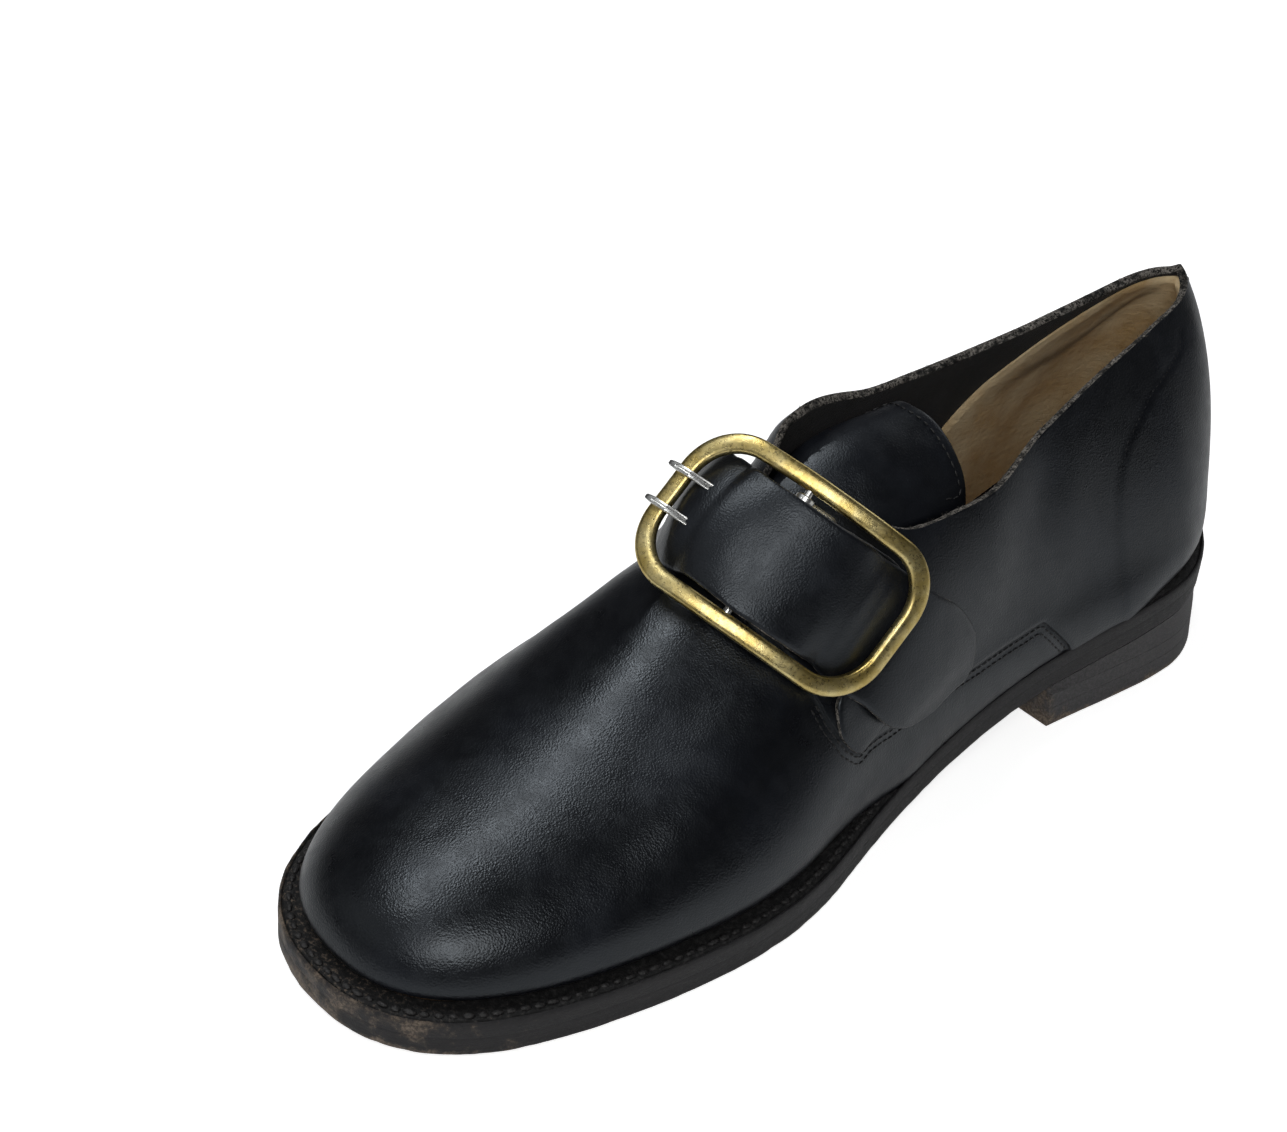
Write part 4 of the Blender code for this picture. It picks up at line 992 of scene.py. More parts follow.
def slabPiece(name, loop, middle, low, high, profile, rings, materials, rough, wear, replaces,
              dish=None, front=None):
    # profile: (inset from the outline, share of the height) up the side; rings: shares towards the middle line
    normal = outlineNormals(loop)
    target = np.column_stack([np.full(len(loop), 0.0), np.clip(loop[:, 1], *middle)])
    target[:, 0] = np.interp(target[:, 1], (0, 150, 300), (1.5, 2.0, -0.5))
    levels, kinds = [], []
    firstInset, lastInset = profile[0][0], profile[-1][0]
    for share in rings[::-1]:
        levels.append((firstInset, share, 0.0))
        kinds.append(2)
    for inset, height in profile:
        levels.append((inset, 0.0, height))
        kinds.append(0)
    kinds[-1] = 1
    for share in rings:
        levels.append((lastInset, share, 1.0))
        kinds.append(1)
    points, values = [], []
    for inset, share, height in levels:
        flat = (loop - normal * inset) * (1 - share) + target * share
        if front:
            flat[:, 1] = np.minimum(flat[:, 1], front)
        bottom, top = low(flat[:, 1]), high(flat[:, 1])
        if dish is not None and height == 1.0:
            top = top - dish(share)
        spots = np.column_stack([flat, bottom + (top - bottom) * height])
        side = 0.0 < height < 1.0 or share == 0.0
        jitter = rough(spots) if side else 0.25 * rough(spots)
        spots[:, :2] += normal * jitter[:, None] * (1.0 if side else 0.0)
        if height == 0.0:
            spots[:, 2] += np.abs(jitter) * 0.3 * (1 if share == 0 else 0)
        points.append(spots)
        values.append(wear(spots, height))
    count, width = len(levels), len(loop)
    faces = gridFaces(count, width, wrapColumns=True)
    slots = np.repeat(np.array(kinds[:-1]), width).tolist()
    return makePiece(name, np.concatenate(points), faces, materials, slots, 50.0,
                     {"wear": np.concatenate(values)}, replaces)


def toeWear(spots):
    # the toe is rubbed most on its inner front corner
    far = np.hypot((spots[:, 0] + 8) * 0.75, spots[:, 1] - 300)
    return np.clip(1.15 - far / 62.0, 0, 1)


def outsoleWear(spots, height):
    low = np.clip(1 - height / 0.45, 0, 1)
    toe = toeWear(spots)
    along = 0.10 + 0.12 * softNoise(spots, 30.0, 61)
    if height == 0.0:
        return np.full(len(spots), 0.62) * (soleUnder(spots[:, 1]) < 2.5) + 0.12
    return np.clip(toe * (0.55 + 0.45 * low) + low * along * 1.4, 0, 1)


def outsoleRough(spots):
    toe = 0.35 + 0.65 * toeWear(spots)
    lumps = 0.20 * softNoise(spots, 2.4, 62) + 0.30 * softNoise(spots, 6.5, 63)
    return toe * lumps + 0.10 * softNoise(spots, 14, 64)


def buildOutsole():
    loop = closedOutline(0.0, 760)
    profile = ((1.3, 0.0), (0.55, 0.02), (0.16, 0.10), (0.0, 0.22), (0.0, 0.40), (0.03, 0.60), (0.05, 0.80),
               (0.06, 0.95), (0.12, 1.0))
    thick = shoeSizes["outsoleThick"]
    return slabPiece("outsoleSlab", loop, (60, 245), soleUnder, lambda y: soleUnder(y) + thick, profile,
                     (0.02, 0.06, 0.14, 0.28, 0.46, 0.66, 0.85, 1.0), [soleEdge, soleEdge, treadLeather],
                     outsoleRough, outsoleWear, ["outsole"])


def weltWear(spots, height):
    return toeWear(spots) * 0.6


def buildWelt():
    # ring section: inset from the outline and height over the welt's underside
    low = -shoeSizes["gap"] + 0.03
    section = ((0.08, low), (0.05, low + 0.2), (0.04, 1.2), (0.02, 2.6), (0.10, 3.7), (0.38, 4.2), (0.75, 4.24),
               (1.0, 3.95), (1.12, 3.5), (1.26, 3.48), (1.42, 3.9), (1.8, 4.14), (2.5, 4.2), (3.3, 4.2), (4.0, 4.1),
               (4.7, 3.95), (5.5, 3.8), (8.0, 3.7), (8.0, 0.0), (4.0, 0.0), (0.9, low))
    loop = closedOutline(0.0, 1000)
    normal = outlineNormals(loop)
    rings, wear = [], []
    for inset, height in section:
        flat = loop - normal * inset
        under = soleUnder(flat[:, 1]) + shoeSizes["outsoleThick"] + shoeSizes["gap"]
        spots = np.column_stack([flat, under + height])
        if inset < 0.6 and height > -1:
            spots[:, :2] += normal * (0.7 * outsoleRough(spots))[:, None]
        if 1.3 < inset < 5 and height > 3:
            spots[:, 2] += 0.26 * softNoise(spots, 1.9, 71) + 0.18 * softNoise(spots, 5.0, 72)
        elif height > 3 and inset < 1.3:
            spots[:, 2] += 0.10 * softNoise(spots, 3.0, 73)
        rings.append(spots)
        wear.append(weltWear(spots, height))
    faces = gridFaces(len(section), len(loop), wrapRows=True, wrapColumns=True)
    slots = np.zeros(len(section), int)
    slots[:7] = 1
    return makePiece("weltStrip", np.concatenate(rings), faces, [weltBlack, soleEdge], np.repeat(slots, len(loop)),
                     50.0, {"wear": np.concatenate(wear)}, ["welt"])


def buildInsole():
    loop = closedOutline(8.3, 420)
    under = lambda y: soleUnder(y) + shoeSizes["outsoleThick"] + shoeSizes["gap"]
    hollow = {0.0: 0.0, 0.02: 0.05, 0.06: 0.2, 0.14: 0.45, 0.28: 0.8, 0.46: 1.0, 0.66: 1.1, 0.85: 1.15, 1.0: 1.15}
    return slabPiece("insoleBoard", loop, (60, 245), under, lambda y: under(y) + 4.6,
                     ((0.3, 0.0), (0.0, 0.2), (0.0, 0.75), (0.25, 0.95), (0.8, 1.0)),
                     (0.02, 0.06, 0.14, 0.28, 0.46, 0.66, 0.85, 1.0), [insoleLeather], lambda p: 0.0 * p[:, 0],
                     lambda p, h: 0.0 * p[:, 0], ["insole"], lambda share: hollow[share])


def heelRough(spots):
    return 0.05 * softNoise(spots * np.array([0.3, 0.3, 2.2]), 1.6, 81) + 0.10 * softNoise(spots, 9.0, 82)


def heelWear(spots, height):
    z = spots[:, 2]
    corner = np.clip(1 - np.hypot(spots[:, 1] - 84, z) / 13.0, 0, 1)
    lowEdge = np.clip(1 - z / 2.6, 0, 1)
    return np.clip(0.75 * lowEdge + 0.85 * corner + 0.10 + 0.1 * softNoise(spots, 12.0, 83), 0, 1)


def buildHeel():
    s = shoeSizes
    full = s["breastHeight"] + s["seatSlope"] * s["shankStart"]
    layers = (("heelTopPiece", "heel_top_piece", 0.0, 6.14), ("heelLift", "heel_lift", 6.16, 10.84),
              ("heelWedge", "heel_wedge", 10.86, None))
    for number, (name, node, low, high) in enumerate(layers):
        inset = 0.4 - 2.0 * (1 - low / full)
        insetHigh = 0.4 - 2.0 * (1 - (high or full) / full)
        loop = closedOutline(insetHigh, 300, s["shankStart"])
        lean = inset - insetHigh
        top = (lambda y, h=high: np.full_like(y, h)) if high else (lambda y: soleUnder(y) - 0.03)
        scuffed = number == 0
        profile = ((lean + (1.0 if scuffed else 0.06), 0.0), (lean + (0.35 if scuffed else 0.0), 0.04),
                   (lean * 0.9, 0.14), (lean * 0.6, 0.4), (lean * 0.3, 0.7), (0.0, 1.0))
        slabPiece(name, loop, (30, 60), lambda y, z=low: np.full_like(y, z), top, profile,
                  (0.04, 0.15, 0.4, 0.7, 1.0), [heelEdge, heelEdge, treadLeather], heelRough, heelWear,
                  [node], front=s["shankStart"])


buildOutsole()
buildWelt()
buildInsole()
buildHeel()
print("bottom built")

# the buckle
frameSizes = {
    "long": 73.2, "short": 43.7, "corner": 15.2, "wide": 4.7, "thick": 3.0, "crown": 0.3, "skew": 0.048,
    "arch": 69.0, "centre": (14.2, 172.8, 81.3), "turn": 27.2, "dip": 24.1, "tilt": 46.4,
}


def onFrame(x, y, z):
    # a point in the buckle's own sizes: x along its arch, y across it, z above its face
    s = frameSizes
    turn, dip, tilt = (math.radians(s[k]) for k in ("turn", "dip", "tilt"))
    longSide = np.array([math.cos(dip) * math.cos(turn), -math.cos(dip) * math.sin(turn), -math.sin(dip)])
    level = np.array([-math.sin(turn), -math.cos(turn), 0.0])
    steep = np.array([math.sin(dip) * math.cos(turn), -math.sin(dip) * math.sin(turn), math.cos(dip)])
    shortSide = level * math.cos(tilt) + steep * math.sin(tilt)
    face = steep * math.cos(tilt) - level * math.sin(tilt)
    x, y, z = (np.reshape(np.asarray(v, float), (-1, 1)) for v in np.broadcast_arrays(x, y, z))
    radius = s["arch"] + z
    return (np.array(s["centre"]) + longSide * radius * np.sin(x / s["arch"]) + shortSide * y
            + face * (radius * np.cos(x / s["arch"]) - s["arch"]))


def frameOutline(inset, count=360):
    s = frameSizes
    halfLong, halfShort, corner = s["long"] / 2 - inset, s["short"] / 2 - inset, s["corner"] - 0.8 * inset
    line = []
    for turn, (signX, signY) in enumerate(((1, 1), (-1, 1), (-1, -1), (1, -1))):
        for angle in np.radians(90 * turn + np.linspace(0, 90, 25)):
            line.append(((halfLong - corner) * signX + corner * math.cos(angle),
                         (halfShort - corner) * signY + corner * math.sin(angle)))
    line = np.array(line + line[:1])
    line = evenly(line, np.linspace(0, 1, count + 1))[:-1]
    crown = s["crown"] * (1 - (line[:, 0] / halfLong) ** 2) * line[:, 1] / halfShort
    return np.column_stack([line[:, 0] + s["skew"] * line[:, 1], line[:, 1] + crown])


def buildFrame():
    s = frameSizes
    outer, inner = frameOutline(0.0), frameOutline(s["wide"])
    rings = []
    for angle in np.linspace(0, 2 * np.pi, 28, endpoint=False):
        u, v = math.cos(angle), math.sin(angle)
        share = 0.5 - 0.5 * math.copysign(abs(u) ** 0.62, u)
        height = -s["thick"] / 2 + s["thick"] / 2 * math.copysign(abs(v) ** (0.75 if v > 0 else 0.5), v)
        line = outer * (1 - share) + inner * share
        spots = onFrame(line[:, 0], line[:, 1], height)
        rings.append(spots + 0.05 * np.stack([softNoise(spots, 7.0, 91 + k) for k in range(3)], 1))
    faces = gridFaces(28, len(outer), wrapRows=True, wrapColumns=True)
    return makePiece("buckleFrame", np.concatenate(rings), faces, [brass], None, 60.0, None,
                     ["buckle_frame"])


steelSizes = {
    "barPlace": -5.0, "barDepth": -1.8, "barRadius": 1.1, "bore": 1.4, "hubRadius": 2.2, "hubHalf": 8.0,
    "chapeRadius": 2.6, "chapeEnd": 16.0, "prongPlace": 5.0, "prongWide": 2.0, "prongThick": 1.3,
    "plate": (-9.0, 6.0), "plateTop": -4.3, "plateThick": 1.0,
}
# how each prong runs: place along the frame, height of its middle over the frame's face
prongPath = ((-6.5, -1.7), (-10.0, -1.5), (-15.0, -1.1), (-20.0, -0.9), (-24.0, -0.4), (-28.0, 0.4), (-32.0, 1.0),
             (-38.0, 1.0))


def turned(profile, closed=True):
    # a shape turned round the buckle's bar: (place across the frame, radius) from bore to outside and back
    s = steelSizes
    angle = np.linspace(0, 2 * np.pi, 40, endpoint=False)
    rings = [onFrame(s["barPlace"] + r * np.cos(angle), place, s["barDepth"] + r * np.sin(angle))
             for place, r in profile]
    return np.concatenate(rings), gridFaces(len(profile), 40, wrapRows=closed, wrapColumns=True)


def joinParts(parts):
    points, faces, start = [], [], 0
    for spots, quads in parts:
        points.append(spots)
        faces.extend([[v + start for v in face] for face in quads])
        start += len(spots)
    return np.concatenate(points), faces


def tubeProfile(start, end, bore, radius, grooves=()):
    profile = [(start, bore), (start, radius - 0.25), (start + 0.25, radius)]
    for place in grooves:
        profile += [(place - 0.3, radius), (place, radius - 0.35), (place + 0.3, radius)]
    return profile + [(end - 0.25, radius), (end, radius - 0.25), (end, bore)]


def prongPart(middle):
    s = steelSizes
    knots = np.array(prongPath)
    place = np.linspace(knots[0, 0], knots[-1, 0], 70)
    height = naturalCurve(-knots[:, 0], knots[:, 1])(-place)
    taper = np.clip((place - knots[-1, 0]) / 3.2, 0, 1)
    wide = s["prongWide"] / 2 * (0.50 + 0.50 * np.sqrt(taper))
    deep = s["prongThick"] / 2 * (0.42 + 0.58 * np.sqrt(taper))
    groove = 0.30 * np.clip(taper * 2 - 0.6, 0, 1)
    section = ((-1, -0.7), (-0.8, -1), (0.8, -1), (1, -0.7), (1, 0.5), (0.82, 0.95), (0.42, 1), (0, 1), (-0.42, 1),
               (-0.82, 0.95), (-1, 0.5))
    columns = []
    for x, z in section:
        drop = groove if (x, z) == (0, 1) else 0
        columns.append(onFrame(place, middle + x * wide, height + z * deep - drop))
    points = np.stack(columns, 1).reshape(-1, 3)
    width = len(section)
    faces = gridFaces(len(place), width, wrapColumns=True)
    faces += [list(range(width)), list(range((len(place) - 1) * width, len(place) * width))]
    return points, faces


def platePart():
    s = steelSizes
    rows = []
    places = np.linspace(*s["plate"], 24)
    section = ((-1, -0.5), (-0.97, -1), (0.97, -1), (1, -0.5), (1, 0.5), (0.97, 1), (-0.97, 1), (-1, 0.5))
    for x in places:
        end = min(x - places[0], places[-1] - x)
        half = s["chapeEnd"] - 1.6 * max(0.0, 1 - end / 2.5) ** 2
        middle = s["plateTop"] - s["plateThick"] / 2
        rows.append(np.concatenate([onFrame(x, half * a, middle + s["plateThick"] / 2 * b) for a, b in section]))
    width = len(section)
    faces = gridFaces(len(rows), width, wrapColumns=True)
    faces += [list(range(width)), list(range((len(rows) - 1) * width, len(rows) * width))]
    return np.concatenate(rows), faces


def buildSteel():
    s = steelSizes
    hub = turned(tubeProfile(-s["hubHalf"], s["hubHalf"], s["bore"], s["hubRadius"], (-6.6, -3.4, 3.4, 6.6)))
    points, faces = joinParts([hub, prongPart(-s["prongPlace"]), prongPart(s["prongPlace"])])
    makePiece("buckleFork", points, faces, [steel], None, 40.0, None, ["buckle_fork"])
    first = s["hubHalf"] + 0.3
    rings = [turned(tubeProfile(first, s["chapeEnd"], s["bore"], s["chapeRadius"], (11.0, 13.6))),
             turned(tubeProfile(-s["chapeEnd"], -first, s["bore"], s["chapeRadius"], (-13.6, -11.0)))]
    # a short web joins each ring to the plate, as the bent strip of a real chape does
    for low, high in ((first, s["chapeEnd"]), (-s["chapeEnd"], -first)):
        corners = []
        for across in (low + 0.2, high - 0.2):
            for along, height in ((-7.0, -4.6), (-3.0, -4.6), (-3.2, -3.2), (-6.8, -3.2)):
                corners.append(onFrame(along, across, height)[0])
        rings.append((np.array(corners), gridFaces(2, 4, wrapColumns=True) + [[0, 1, 2, 3], [4, 5, 6, 7]]))
    points, faces = joinParts(rings + [platePart()])
    makePiece("buckleChape", points, faces, [steel], None, 40.0, None, ["buckle_chape"])
    half = frameSizes["short"] / 2 - frameSizes["wide"] + 0.8
    rod = [(-half, 0.02), (-half, s["barRadius"]), (half, s["barRadius"]), (half, 0.02)]
    points, faces = turned(rod, False)
    faces += [list(range(40)), list(range(120, 160))]
    makePiece("buckleBar", points, faces, [steel], None, 40.0, None, ["buckle_bar"])


buildFrame()
buildSteel()
print("buckle built")


# what repeats: stitches and loose fibres, placed by Geometry Nodes
def repeatTree(name, fibre=False):
    tree = bpy.data.node_groups.new(name, "GeometryNodeTree")
    tree.interface.new_socket("Geometry", in_out="INPUT", socket_type="NodeSocketGeometry")
    for key in ("Length", "Width", "Height", "Spread"):
        tree.interface.new_socket(key, in_out="INPUT", socket_type="NodeSocketFloat")
    tree.interface.new_socket("Seed", in_out="INPUT", socket_type="NodeSocketInt")
    tree.interface.new_socket("Thread", in_out="INPUT", socket_type="NodeSocketMaterial")
    tree.interface.new_socket("Geometry", in_out="OUTPUT", socket_type="NodeSocketGeometry")
    given = addNode(tree, "NodeGroupInput").outputs
    run = addNode(tree, "GeometryNodeInputNamedAttribute", {"data_type": "FLOAT_VECTOR"}, Name="run")
    outward = addNode(tree, "GeometryNodeInputNamedAttribute", {"data_type": "FLOAT_VECTOR"}, Name="outward")
    first = addNode(tree, "FunctionNodeAlignRotationToVector", {"axis": "X"}, {"Vector": run.outputs[0]})
    turn = addNode(tree, "FunctionNodeAlignRotationToVector", {"axis": "Z", "pivot_axis": "X"},
                   {"Rotation": first.outputs[0], "Vector": outward.outputs[0]})
    half = addNode(tree, "ShaderNodeCombineXYZ", None, {"X": given["Length"], "Y": given["Width"],
                                                        "Z": given["Height"]})
    low = maths(tree, "SUBTRACT", 1.0, given["Spread"])
    high = maths(tree, "ADD", 1.0, given["Spread"])
    vary = addNode(tree, "FunctionNodeRandomValue", {"data_type": "FLOAT_VECTOR"}, {"Seed": given["Seed"]})
    tree.links.new(addNode(tree, "ShaderNodeCombineXYZ", None, {"X": low, "Y": low, "Z": low}).outputs[0],
                   vary.inputs["Min"])
    tree.links.new(addNode(tree, "ShaderNodeCombineXYZ", None, {"X": high, "Y": high, "Z": high}).outputs[0],
                   vary.inputs["Max"])
    size = addNode(tree, "ShaderNodeVectorMath", {"operation": "MULTIPLY"},
                   {0: half.outputs[0], 1: vary.outputs[0]}).outputs[0]
    if fibre:
        shape = addNode(tree, "GeometryNodeMeshCone", None, None, Vertices=3, Radius_Top=0.15, Radius_Bottom=0.5,
                        Depth=1.0).outputs[0]
        shape = addNode(tree, "GeometryNodeTransform", None, {"Geometry": shape},
                        Rotation=(0.0, math.radians(90), 0.0)).outputs[0]
    else:
        shape = addNode(tree, "GeometryNodeMeshUVSphere", None, None, Segments=8, Rings=6, Radius=0.5).outputs[0]
    copies = addNode(tree, "GeometryNodeInstanceOnPoints", None, {"Points": given["Geometry"], "Instance": shape,
                     "Rotation": turn.outputs[0], "Scale": size}).outputs[0]
    solid = addNode(tree, "GeometryNodeRealizeInstances", None, {"Geometry": copies}).outputs[0]
    soft = addNode(tree, "GeometryNodeSetShadeSmooth", None, {"Geometry": solid}).outputs[0]
    done = addNode(tree, "GeometryNodeSetMaterial", None, {"Geometry": soft, "Material": given["Thread"]}).outputs[0]
    addNode(tree, "NodeGroupOutput", None, {"Geometry": done})
    return tree


stitchTree = repeatTree("stitchRow")
fibreTree = repeatTree("looseFibres", fibre=True)


def repeatAlong(name, tree, points, run, outward, sizes, material, slot):
    # points, run and outward are in the shoe frame; sizes in mm: length, width, height, spread, seed
    flip = np.array([1.0, -1.0, 1.0])
    mesh = bpy.data.meshes.new(name + "Places")
    mesh.from_pydata(toWorld(points).tolist(), [], [])
    for key, data in (("run", run * flip), ("outward", outward * flip)):
        data = data / np.maximum(np.linalg.norm(data, axis=1), 1e-9)[:, None]
        mesh.attributes.new(key, "FLOAT_VECTOR", "POINT").data.foreach_set("vector", data.astype(np.float32).ravel())
    holder = bpy.data.objects.new(name + "Places", mesh)
    bpy.context.scene.collection.objects.link(holder)
    change = holder.modifiers.new("repeat", "NODES")
    change.node_group = tree
    names = {item.name: item.identifier for item in tree.interface.items_tree if item.in_out == "INPUT"}
    for key, value in zip(("Length", "Width", "Height"), sizes[:3]):
        change[names[key]] = value / 1000.0
    change[names["Spread"]] = float(sizes[3])
    change[names["Seed"]] = int(sizes[4])
    change[names["Thread"]] = material
    bpy.context.view_layer.update()
    made = bpy.data.meshes.new_from_object(holder.evaluated_get(bpy.context.evaluated_depsgraph_get()))
    made.name = name
    bpy.data.objects.remove(holder, do_unlink=True)
    for key in ("run", "outward"):
        if key in made.attributes:
            made.attributes.remove(made.attributes[key])
    piece = bpy.data.objects.new(name, made)
    bpy.context.scene.collection.objects.link(piece)
    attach(piece, "root")
    return piece


def spaced(points, step):
    length = np.linalg.norm(np.diff(points, axis=0), axis=1).sum()
    return np.linspace(0, 1, max(2, int(round(length / step)) + 1))


def rowOnUpper(path, side, inset, step, lift):
    # places of one stitch row: the path moved inset mm to its left over the leather
    line = densify(path, 400)
    along, across = line[:, 0], line[:, 1] * side
    here = lastPoint(along, across)
    tangent = np.gradient(here, axis=0)
    tangent /= np.linalg.norm(tangent, axis=1)[:, None]
    normal = lastNormal(along, across)
    sideways = np.cross(normal, tangent) * side
    if inset:
        delta = 0.003
        byAlong = (lastPoint(along + delta, across) - lastPoint(along - delta, across)) / (2 * delta)
        byAcross = (lastPoint(along, across + delta) - lastPoint(along, across - delta)) / (2 * delta)
        move = sideways * inset
        a11, a12, a22 = (byAlong ** 2).sum(1), (byAlong * byAcross).sum(1), (byAcross ** 2).sum(1)
        b1, b2 = (byAlong * move).sum(1), (byAcross * move).sum(1)
        det = a11 * a22 - a12 ** 2
        along = along + (a22 * b1 - a12 * b2) / det
        across = across + (a11 * b2 - a12 * b1) / det
        far = nearLine(lastPoint(along, across), here)[0]
        keep = far > abs(inset) - 0.12
        along, across = along[keep], across[keep]
    keep = np.abs(across) < 0.985
    along, across = along[keep], across[keep]
    spots = lastPoint(along, across)
    shares = spaced(spots, step)
    both = evenly(np.column_stack([spots, along, across]) * np.array([1, 1, 1, 1e-6, 1e-6]), shares)
    along, across = both[:, 3] * 1e6, both[:, 4] * 1e6
    points = onUpper(along, across, lift)
    return points, np.gradient(points, axis=0), lastNormal(along, across)


stitchSizes = {
    "seam": (1.9, 0.62, 0.5, 0.10, 7), "seamStep": 2.15, "seamRows": (1.2, 2.9),
    "counter": (1.45, 0.42, 0.32, 0.15, 8), "counterStep": 1.8,
    "tongue": (1.9, 0.55, 0.45, 0.12, 9), "tongueStep": 2.5,
    "welt": (3.0, 1.8, 1.25, 0.2, 10), "weltStep": 3.3, "weltInset": 2.75, "weltFrom": 118.0,
    "sole": (3.4, 1.1, 0.7, 0.2, 11), "soleStep": 4.2, "soleInset": 6.0,
    "backSeam": (2.2, 0.6, 0.5, 0.12, 13), "backSeamStep": 3.0,
}


def joinRows(rows):
    return [np.concatenate(parts) for parts in zip(*rows)]


def buildStitches():
    s = stitchSizes
    seamRows = [rowOnUpper(quarterEdge[2:], side, inset, s["seamStep"], 0.02)
                for side in (1, -1) for inset in s["seamRows"]]
    repeatAlong("quarterStitches", stitchTree, *joinRows(seamRows), s["seam"], blackThread, "upper_leather")
    counterRows = [rowOnUpper(counterEdge, side, 0, s["counterStep"], -0.08) for side in (1, -1)]
    repeatAlong("counterStitches", stitchTree, *joinRows(counterRows), s["counter"], blackThread, "upper_leather")

    share = np.linspace(0.07, 0.93, 28) * collarShare(np.array([0.010]), 1)[0][0]
    back = [rowOnUpper(tuple((0.010, side * (1 - k)) for k in share), 1, 0, s["backSeamStep"], 0.0)
            for side in (1, -1)]
    repeatAlong("backSeamStitches", stitchTree, *joinRows(back), s["backSeam"], blackThread, "upper_leather")

    # the tongue's stitching follows its cut end and turns up both sides
    path = []
    for k in np.linspace(0.86, 0.93, 6):
        path.append((k, 0.075))
    for k in np.linspace(0, np.pi / 2, 8)[1:]:
        path.append((0.93 + 0.02 * math.sin(k), 0.075 + 0.05 * (1 - math.cos(k))))
    for k in np.linspace(0.125, 0.875, 40)[1:-1]:
        path.append((0.95, k))
    path += [(a, 1 - b) for a, b in path[:13][::-1]]
    path = np.array(path)
    spots = tonguePoints(path[:, 0], path[:, 1], 0.0)
    both = evenly(np.column_stack([spots, path * 1e-6]), spaced(spots, s["tongueStep"]))
    a, b = both[:, 3] * 1e6, both[:, 4] * 1e6
    points = tonguePoints(a, b, 0.06)
    outward = tonguePoints(a, b, 1.06) - points
    repeatAlong("tongueStitches", stitchTree, points, np.gradient(points, axis=0), outward, s["tongue"], blackThread,
                "upper_leather")

    loop = closedOutline(0.0, 1600)
    flat = loop - outlineNormals(loop) * s["weltInset"]
    flat = evenly(np.vstack([flat, flat[:1]]), spaced(flat, s["weltStep"]))[:-1]
    flat = flat[flat[:, 1] > s["weltFrom"]]
    points = np.column_stack([flat, weltTop(flat[:, 1]) + 0.12])
    points[:, 2] += 0.18 * softNoise(points, 3.0, 101)
    ahead = np.minimum(np.arange(len(points)) + 1, len(points) - 1)
    run = points[ahead] - points[ahead - 1]
    lean = np.column_stack([0.18 * softNoise(points * 7.3, 1.0, 102), 0.18 * softNoise(points * 7.3, 1.0, 103),
                            np.zeros(len(points))])
    repeatAlong("weltStitches", stitchTree, points, run + lean, np.tile([0.0, 0.0, 1.0], (len(points), 1)), s["welt"],
                weltThread, "sole_leather")

    flat = closedOutline(s["soleInset"], 1200)
    flat = flat[flat[:, 1] > 96]
    order = np.argsort(np.arctan2(flat[:, 0], 180 - flat[:, 1]))
    flat = evenly(flat[order], spaced(flat[order], s["soleStep"]))
    points = np.column_stack([flat, soleUnder(flat[:, 1]) + 0.02])
    repeatAlong("soleStitches", stitchTree, points, np.gradient(points, axis=0),
                np.tile([0.0, 0.0, -1.0], (len(points), 1)), s["sole"], weltThread, "sole_leather")


def buildFibres():
    # short loose fibres stand up from the raw collar edge, thickest at the back seam
    chance = np.random.default_rng(5)
    rows = []
    for side in (1, -1):
        count = 420
        a = 0.004 + chance.random(count) ** 1.2 * 0.44
        top, _ = collarShare(a, side)
        share = top - chance.random(len(a)) * 0.004
        across = side * (1 - share)
        points = onUpper(a, across, -chance.random(len(a)) * shoeSizes["wall"])
        normal = lastNormal(a, across)
        up = onUpper(a, side * (1 - share - 0.01)) - onUpper(a, across)
        up /= np.linalg.norm(up, axis=1)[:, None]
        lean = chance.normal(size=(len(a), 3)) * 0.75
        keep = np.linalg.norm(up, axis=1) > 0.5
        rows.append((points[keep], (up * 0.8 + lean)[keep], normal[keep]))
    repeatAlong("collarFibres", fibreTree, *joinRows(rows), (0.9, 0.11, 0.11, 0.5, 14), edgeFibre, "upper_leather")


buildStitches()
buildFibres()
print("stitches and fibres built")

# floor, light and camera
lookSizes = {
    "floor": "#f2f2f2", "glow": 0.75, "glowLeast": 0.13, "skyCamera": 1.0, "skyLight": 0.05,
    "camera": (307.22, -344.31, 392.77), "azimuth": 46.78, "elevation": 36.02, "roll": 4.256, "lens": 62.98,
}


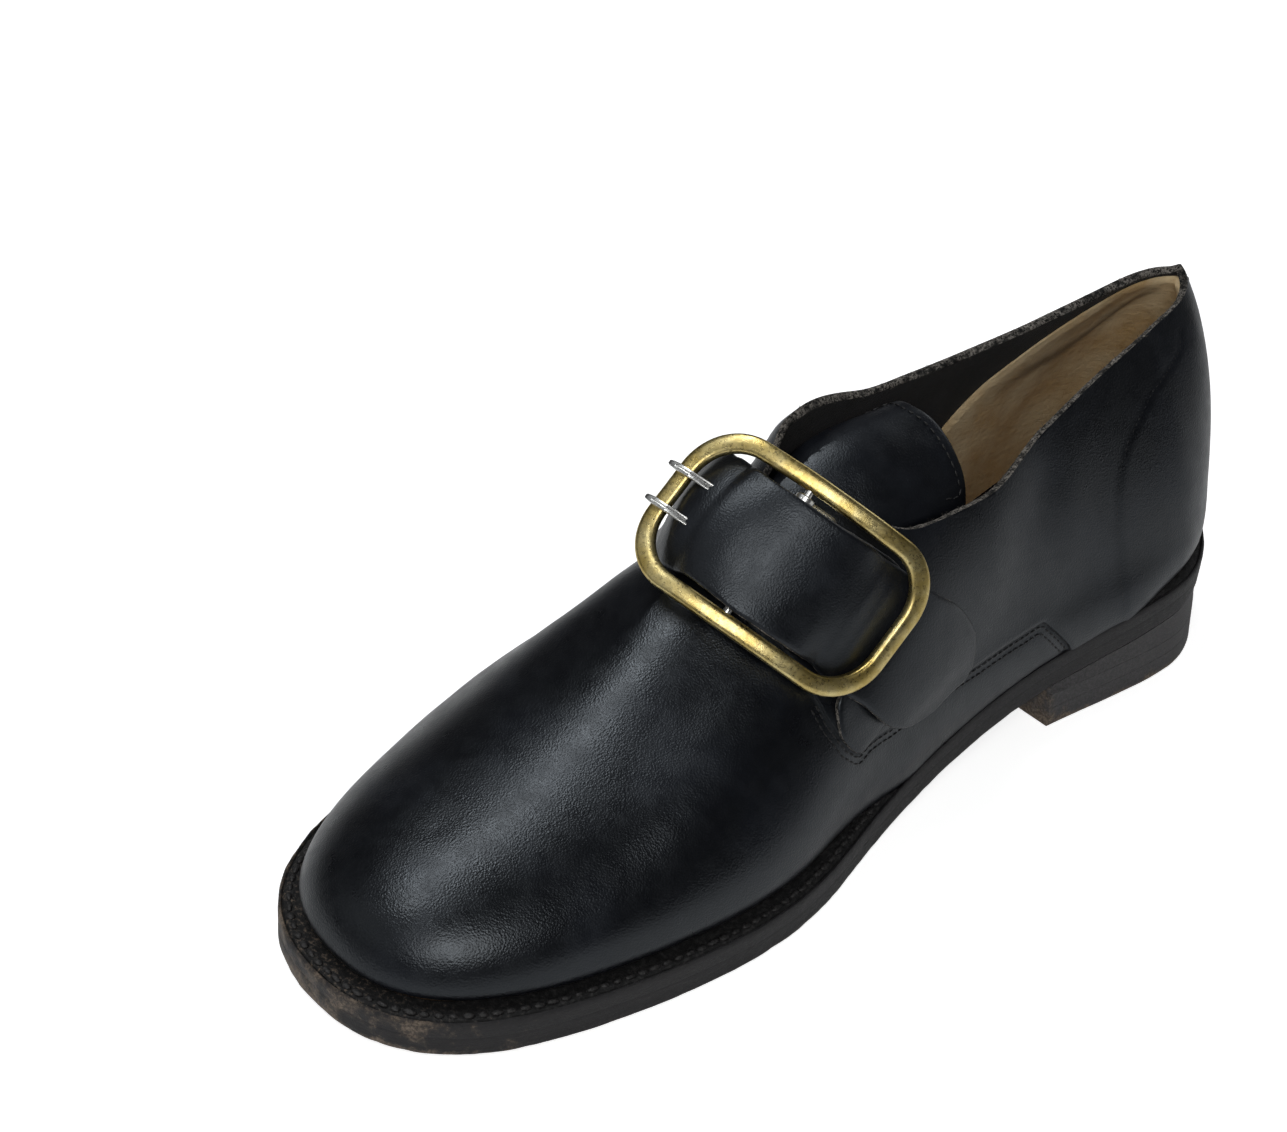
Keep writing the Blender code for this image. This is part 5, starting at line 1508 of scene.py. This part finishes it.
def buildStage():
    floor = bpy.data.meshes.new("paleFloor")
    floor.from_pydata([(-4, -4, 0), (4, -4, 0), (4, 4, 0), (-4, 4, 0)], [], [(0, 1, 2, 3)])
    material, tree, shader, place = startMaterial("palePaperFloor", lookSizes["floor"], 0.9, Specular_IOR_Level=0.1)
    grain = noiseNode(tree, place, 3.0, 3.0)
    tree.links.new(bump(tree, grain, 0.02), shader.inputs["Normal"])
    # the photograph was cut out on white, so the paper looks lit from below, most of all to the camera
    seen = addNode(tree, "ShaderNodeLightPath").outputs["Is Camera Ray"]
    shader.inputs["Emission Color"].default_value = (1.0, 1.0, 1.0, 1.0)
    glow = addNode(tree, "ShaderNodeMapRange", None, {"Value": seen}, To_Min=lookSizes["glowLeast"],
                   To_Max=lookSizes["glow"]).outputs["Result"]
    tree.links.new(glow, shader.inputs["Emission Strength"])
    floor.materials.append(material)
    piece = bpy.data.objects.new("paleFloor", floor)
    bpy.context.scene.collection.objects.link(piece)

    world = bpy.data.worlds.new("softRoom")
    world.use_nodes = True
    bpy.context.scene.world = world
    tree = world.node_tree
    background = tree.nodes["Background"]
    background.inputs["Color"].default_value = (0.98, 0.985, 1.0, 1.0)
    seen = addNode(tree, "ShaderNodeLightPath").outputs["Is Camera Ray"]
    strength = addNode(tree, "ShaderNodeMapRange", None, {"Value": seen}, To_Min=lookSizes["skyLight"],
                       To_Max=lookSizes["skyCamera"]).outputs["Result"]
    tree.links.new(strength, background.inputs["Strength"])


def areaLight(name, place, aim, size, watts, tint=(1, 1, 1)):
    data = bpy.data.lights.new(name, "AREA")
    data.shape = "RECTANGLE"
    data.size, data.size_y = size
    data.energy = watts
    data.color = tint
    light = bpy.data.objects.new(name, data)
    light.location = place
    light.rotation_euler = (Vector(place) - Vector(aim)).to_track_quat("Z", "Y").to_euler()
    bpy.context.scene.collection.objects.link(light)


def buildCamera():
    s = lookSizes
    a, e, roll = (math.radians(s[k]) for k in ("azimuth", "elevation", "roll"))
    back = np.array([math.sin(a) * math.cos(e), -math.cos(a) * math.cos(e), math.sin(e)])
    right = np.array([math.cos(a), math.sin(a), 0.0])
    up = np.cross(back, right)
    axes = np.stack([math.cos(roll) * right + math.sin(roll) * up, -math.sin(roll) * right + math.cos(roll) * up,
                     back], 1)
    data = bpy.data.cameras.new("photoView")
    data.sensor_width = 36.0
    data.lens = s["lens"]
    data.clip_start = 0.01
    camera = bpy.data.objects.new("photoView", data)
    matrix = Matrix(axes.tolist()).to_4x4()
    x, y, z = s["camera"]
    matrix.translation = ((x + shoeSizes["shiftX"]) / 1000, y / 1000, z / 1000)
    camera.matrix_world = matrix
    bpy.context.scene.collection.objects.link(camera)
    bpy.context.scene.camera = camera


buildStage()
areaLight("overheadStrip", (-0.42, -0.20, 1.33), (0, -0.06, 0.05), (1.1, 0.20), 6.8, (0.97, 0.99, 1.0))
areaLight("toeSoftbox", (-0.45, -1.15, 0.75), (0, -0.08, 0.05), (1.1, 0.7), 0.9, (0.97, 0.99, 1.0))
areaLight("cameraSoftbox", (0.66, -0.70, 0.90), (0, 0, 0.05), (0.75, 0.55), 5.7, (1.0, 1.0, 0.99))
areaLight("backSoftbox", (-0.15, 1.25, 0.70), (0, 0, 0.05), (0.9, 0.45), 2.0, (0.97, 0.99, 1.0))
buildCamera()
bpy.context.scene.view_settings.view_transform = "Standard"
bpy.context.scene.view_settings.look = "None"
print("stage, lights and camera set")
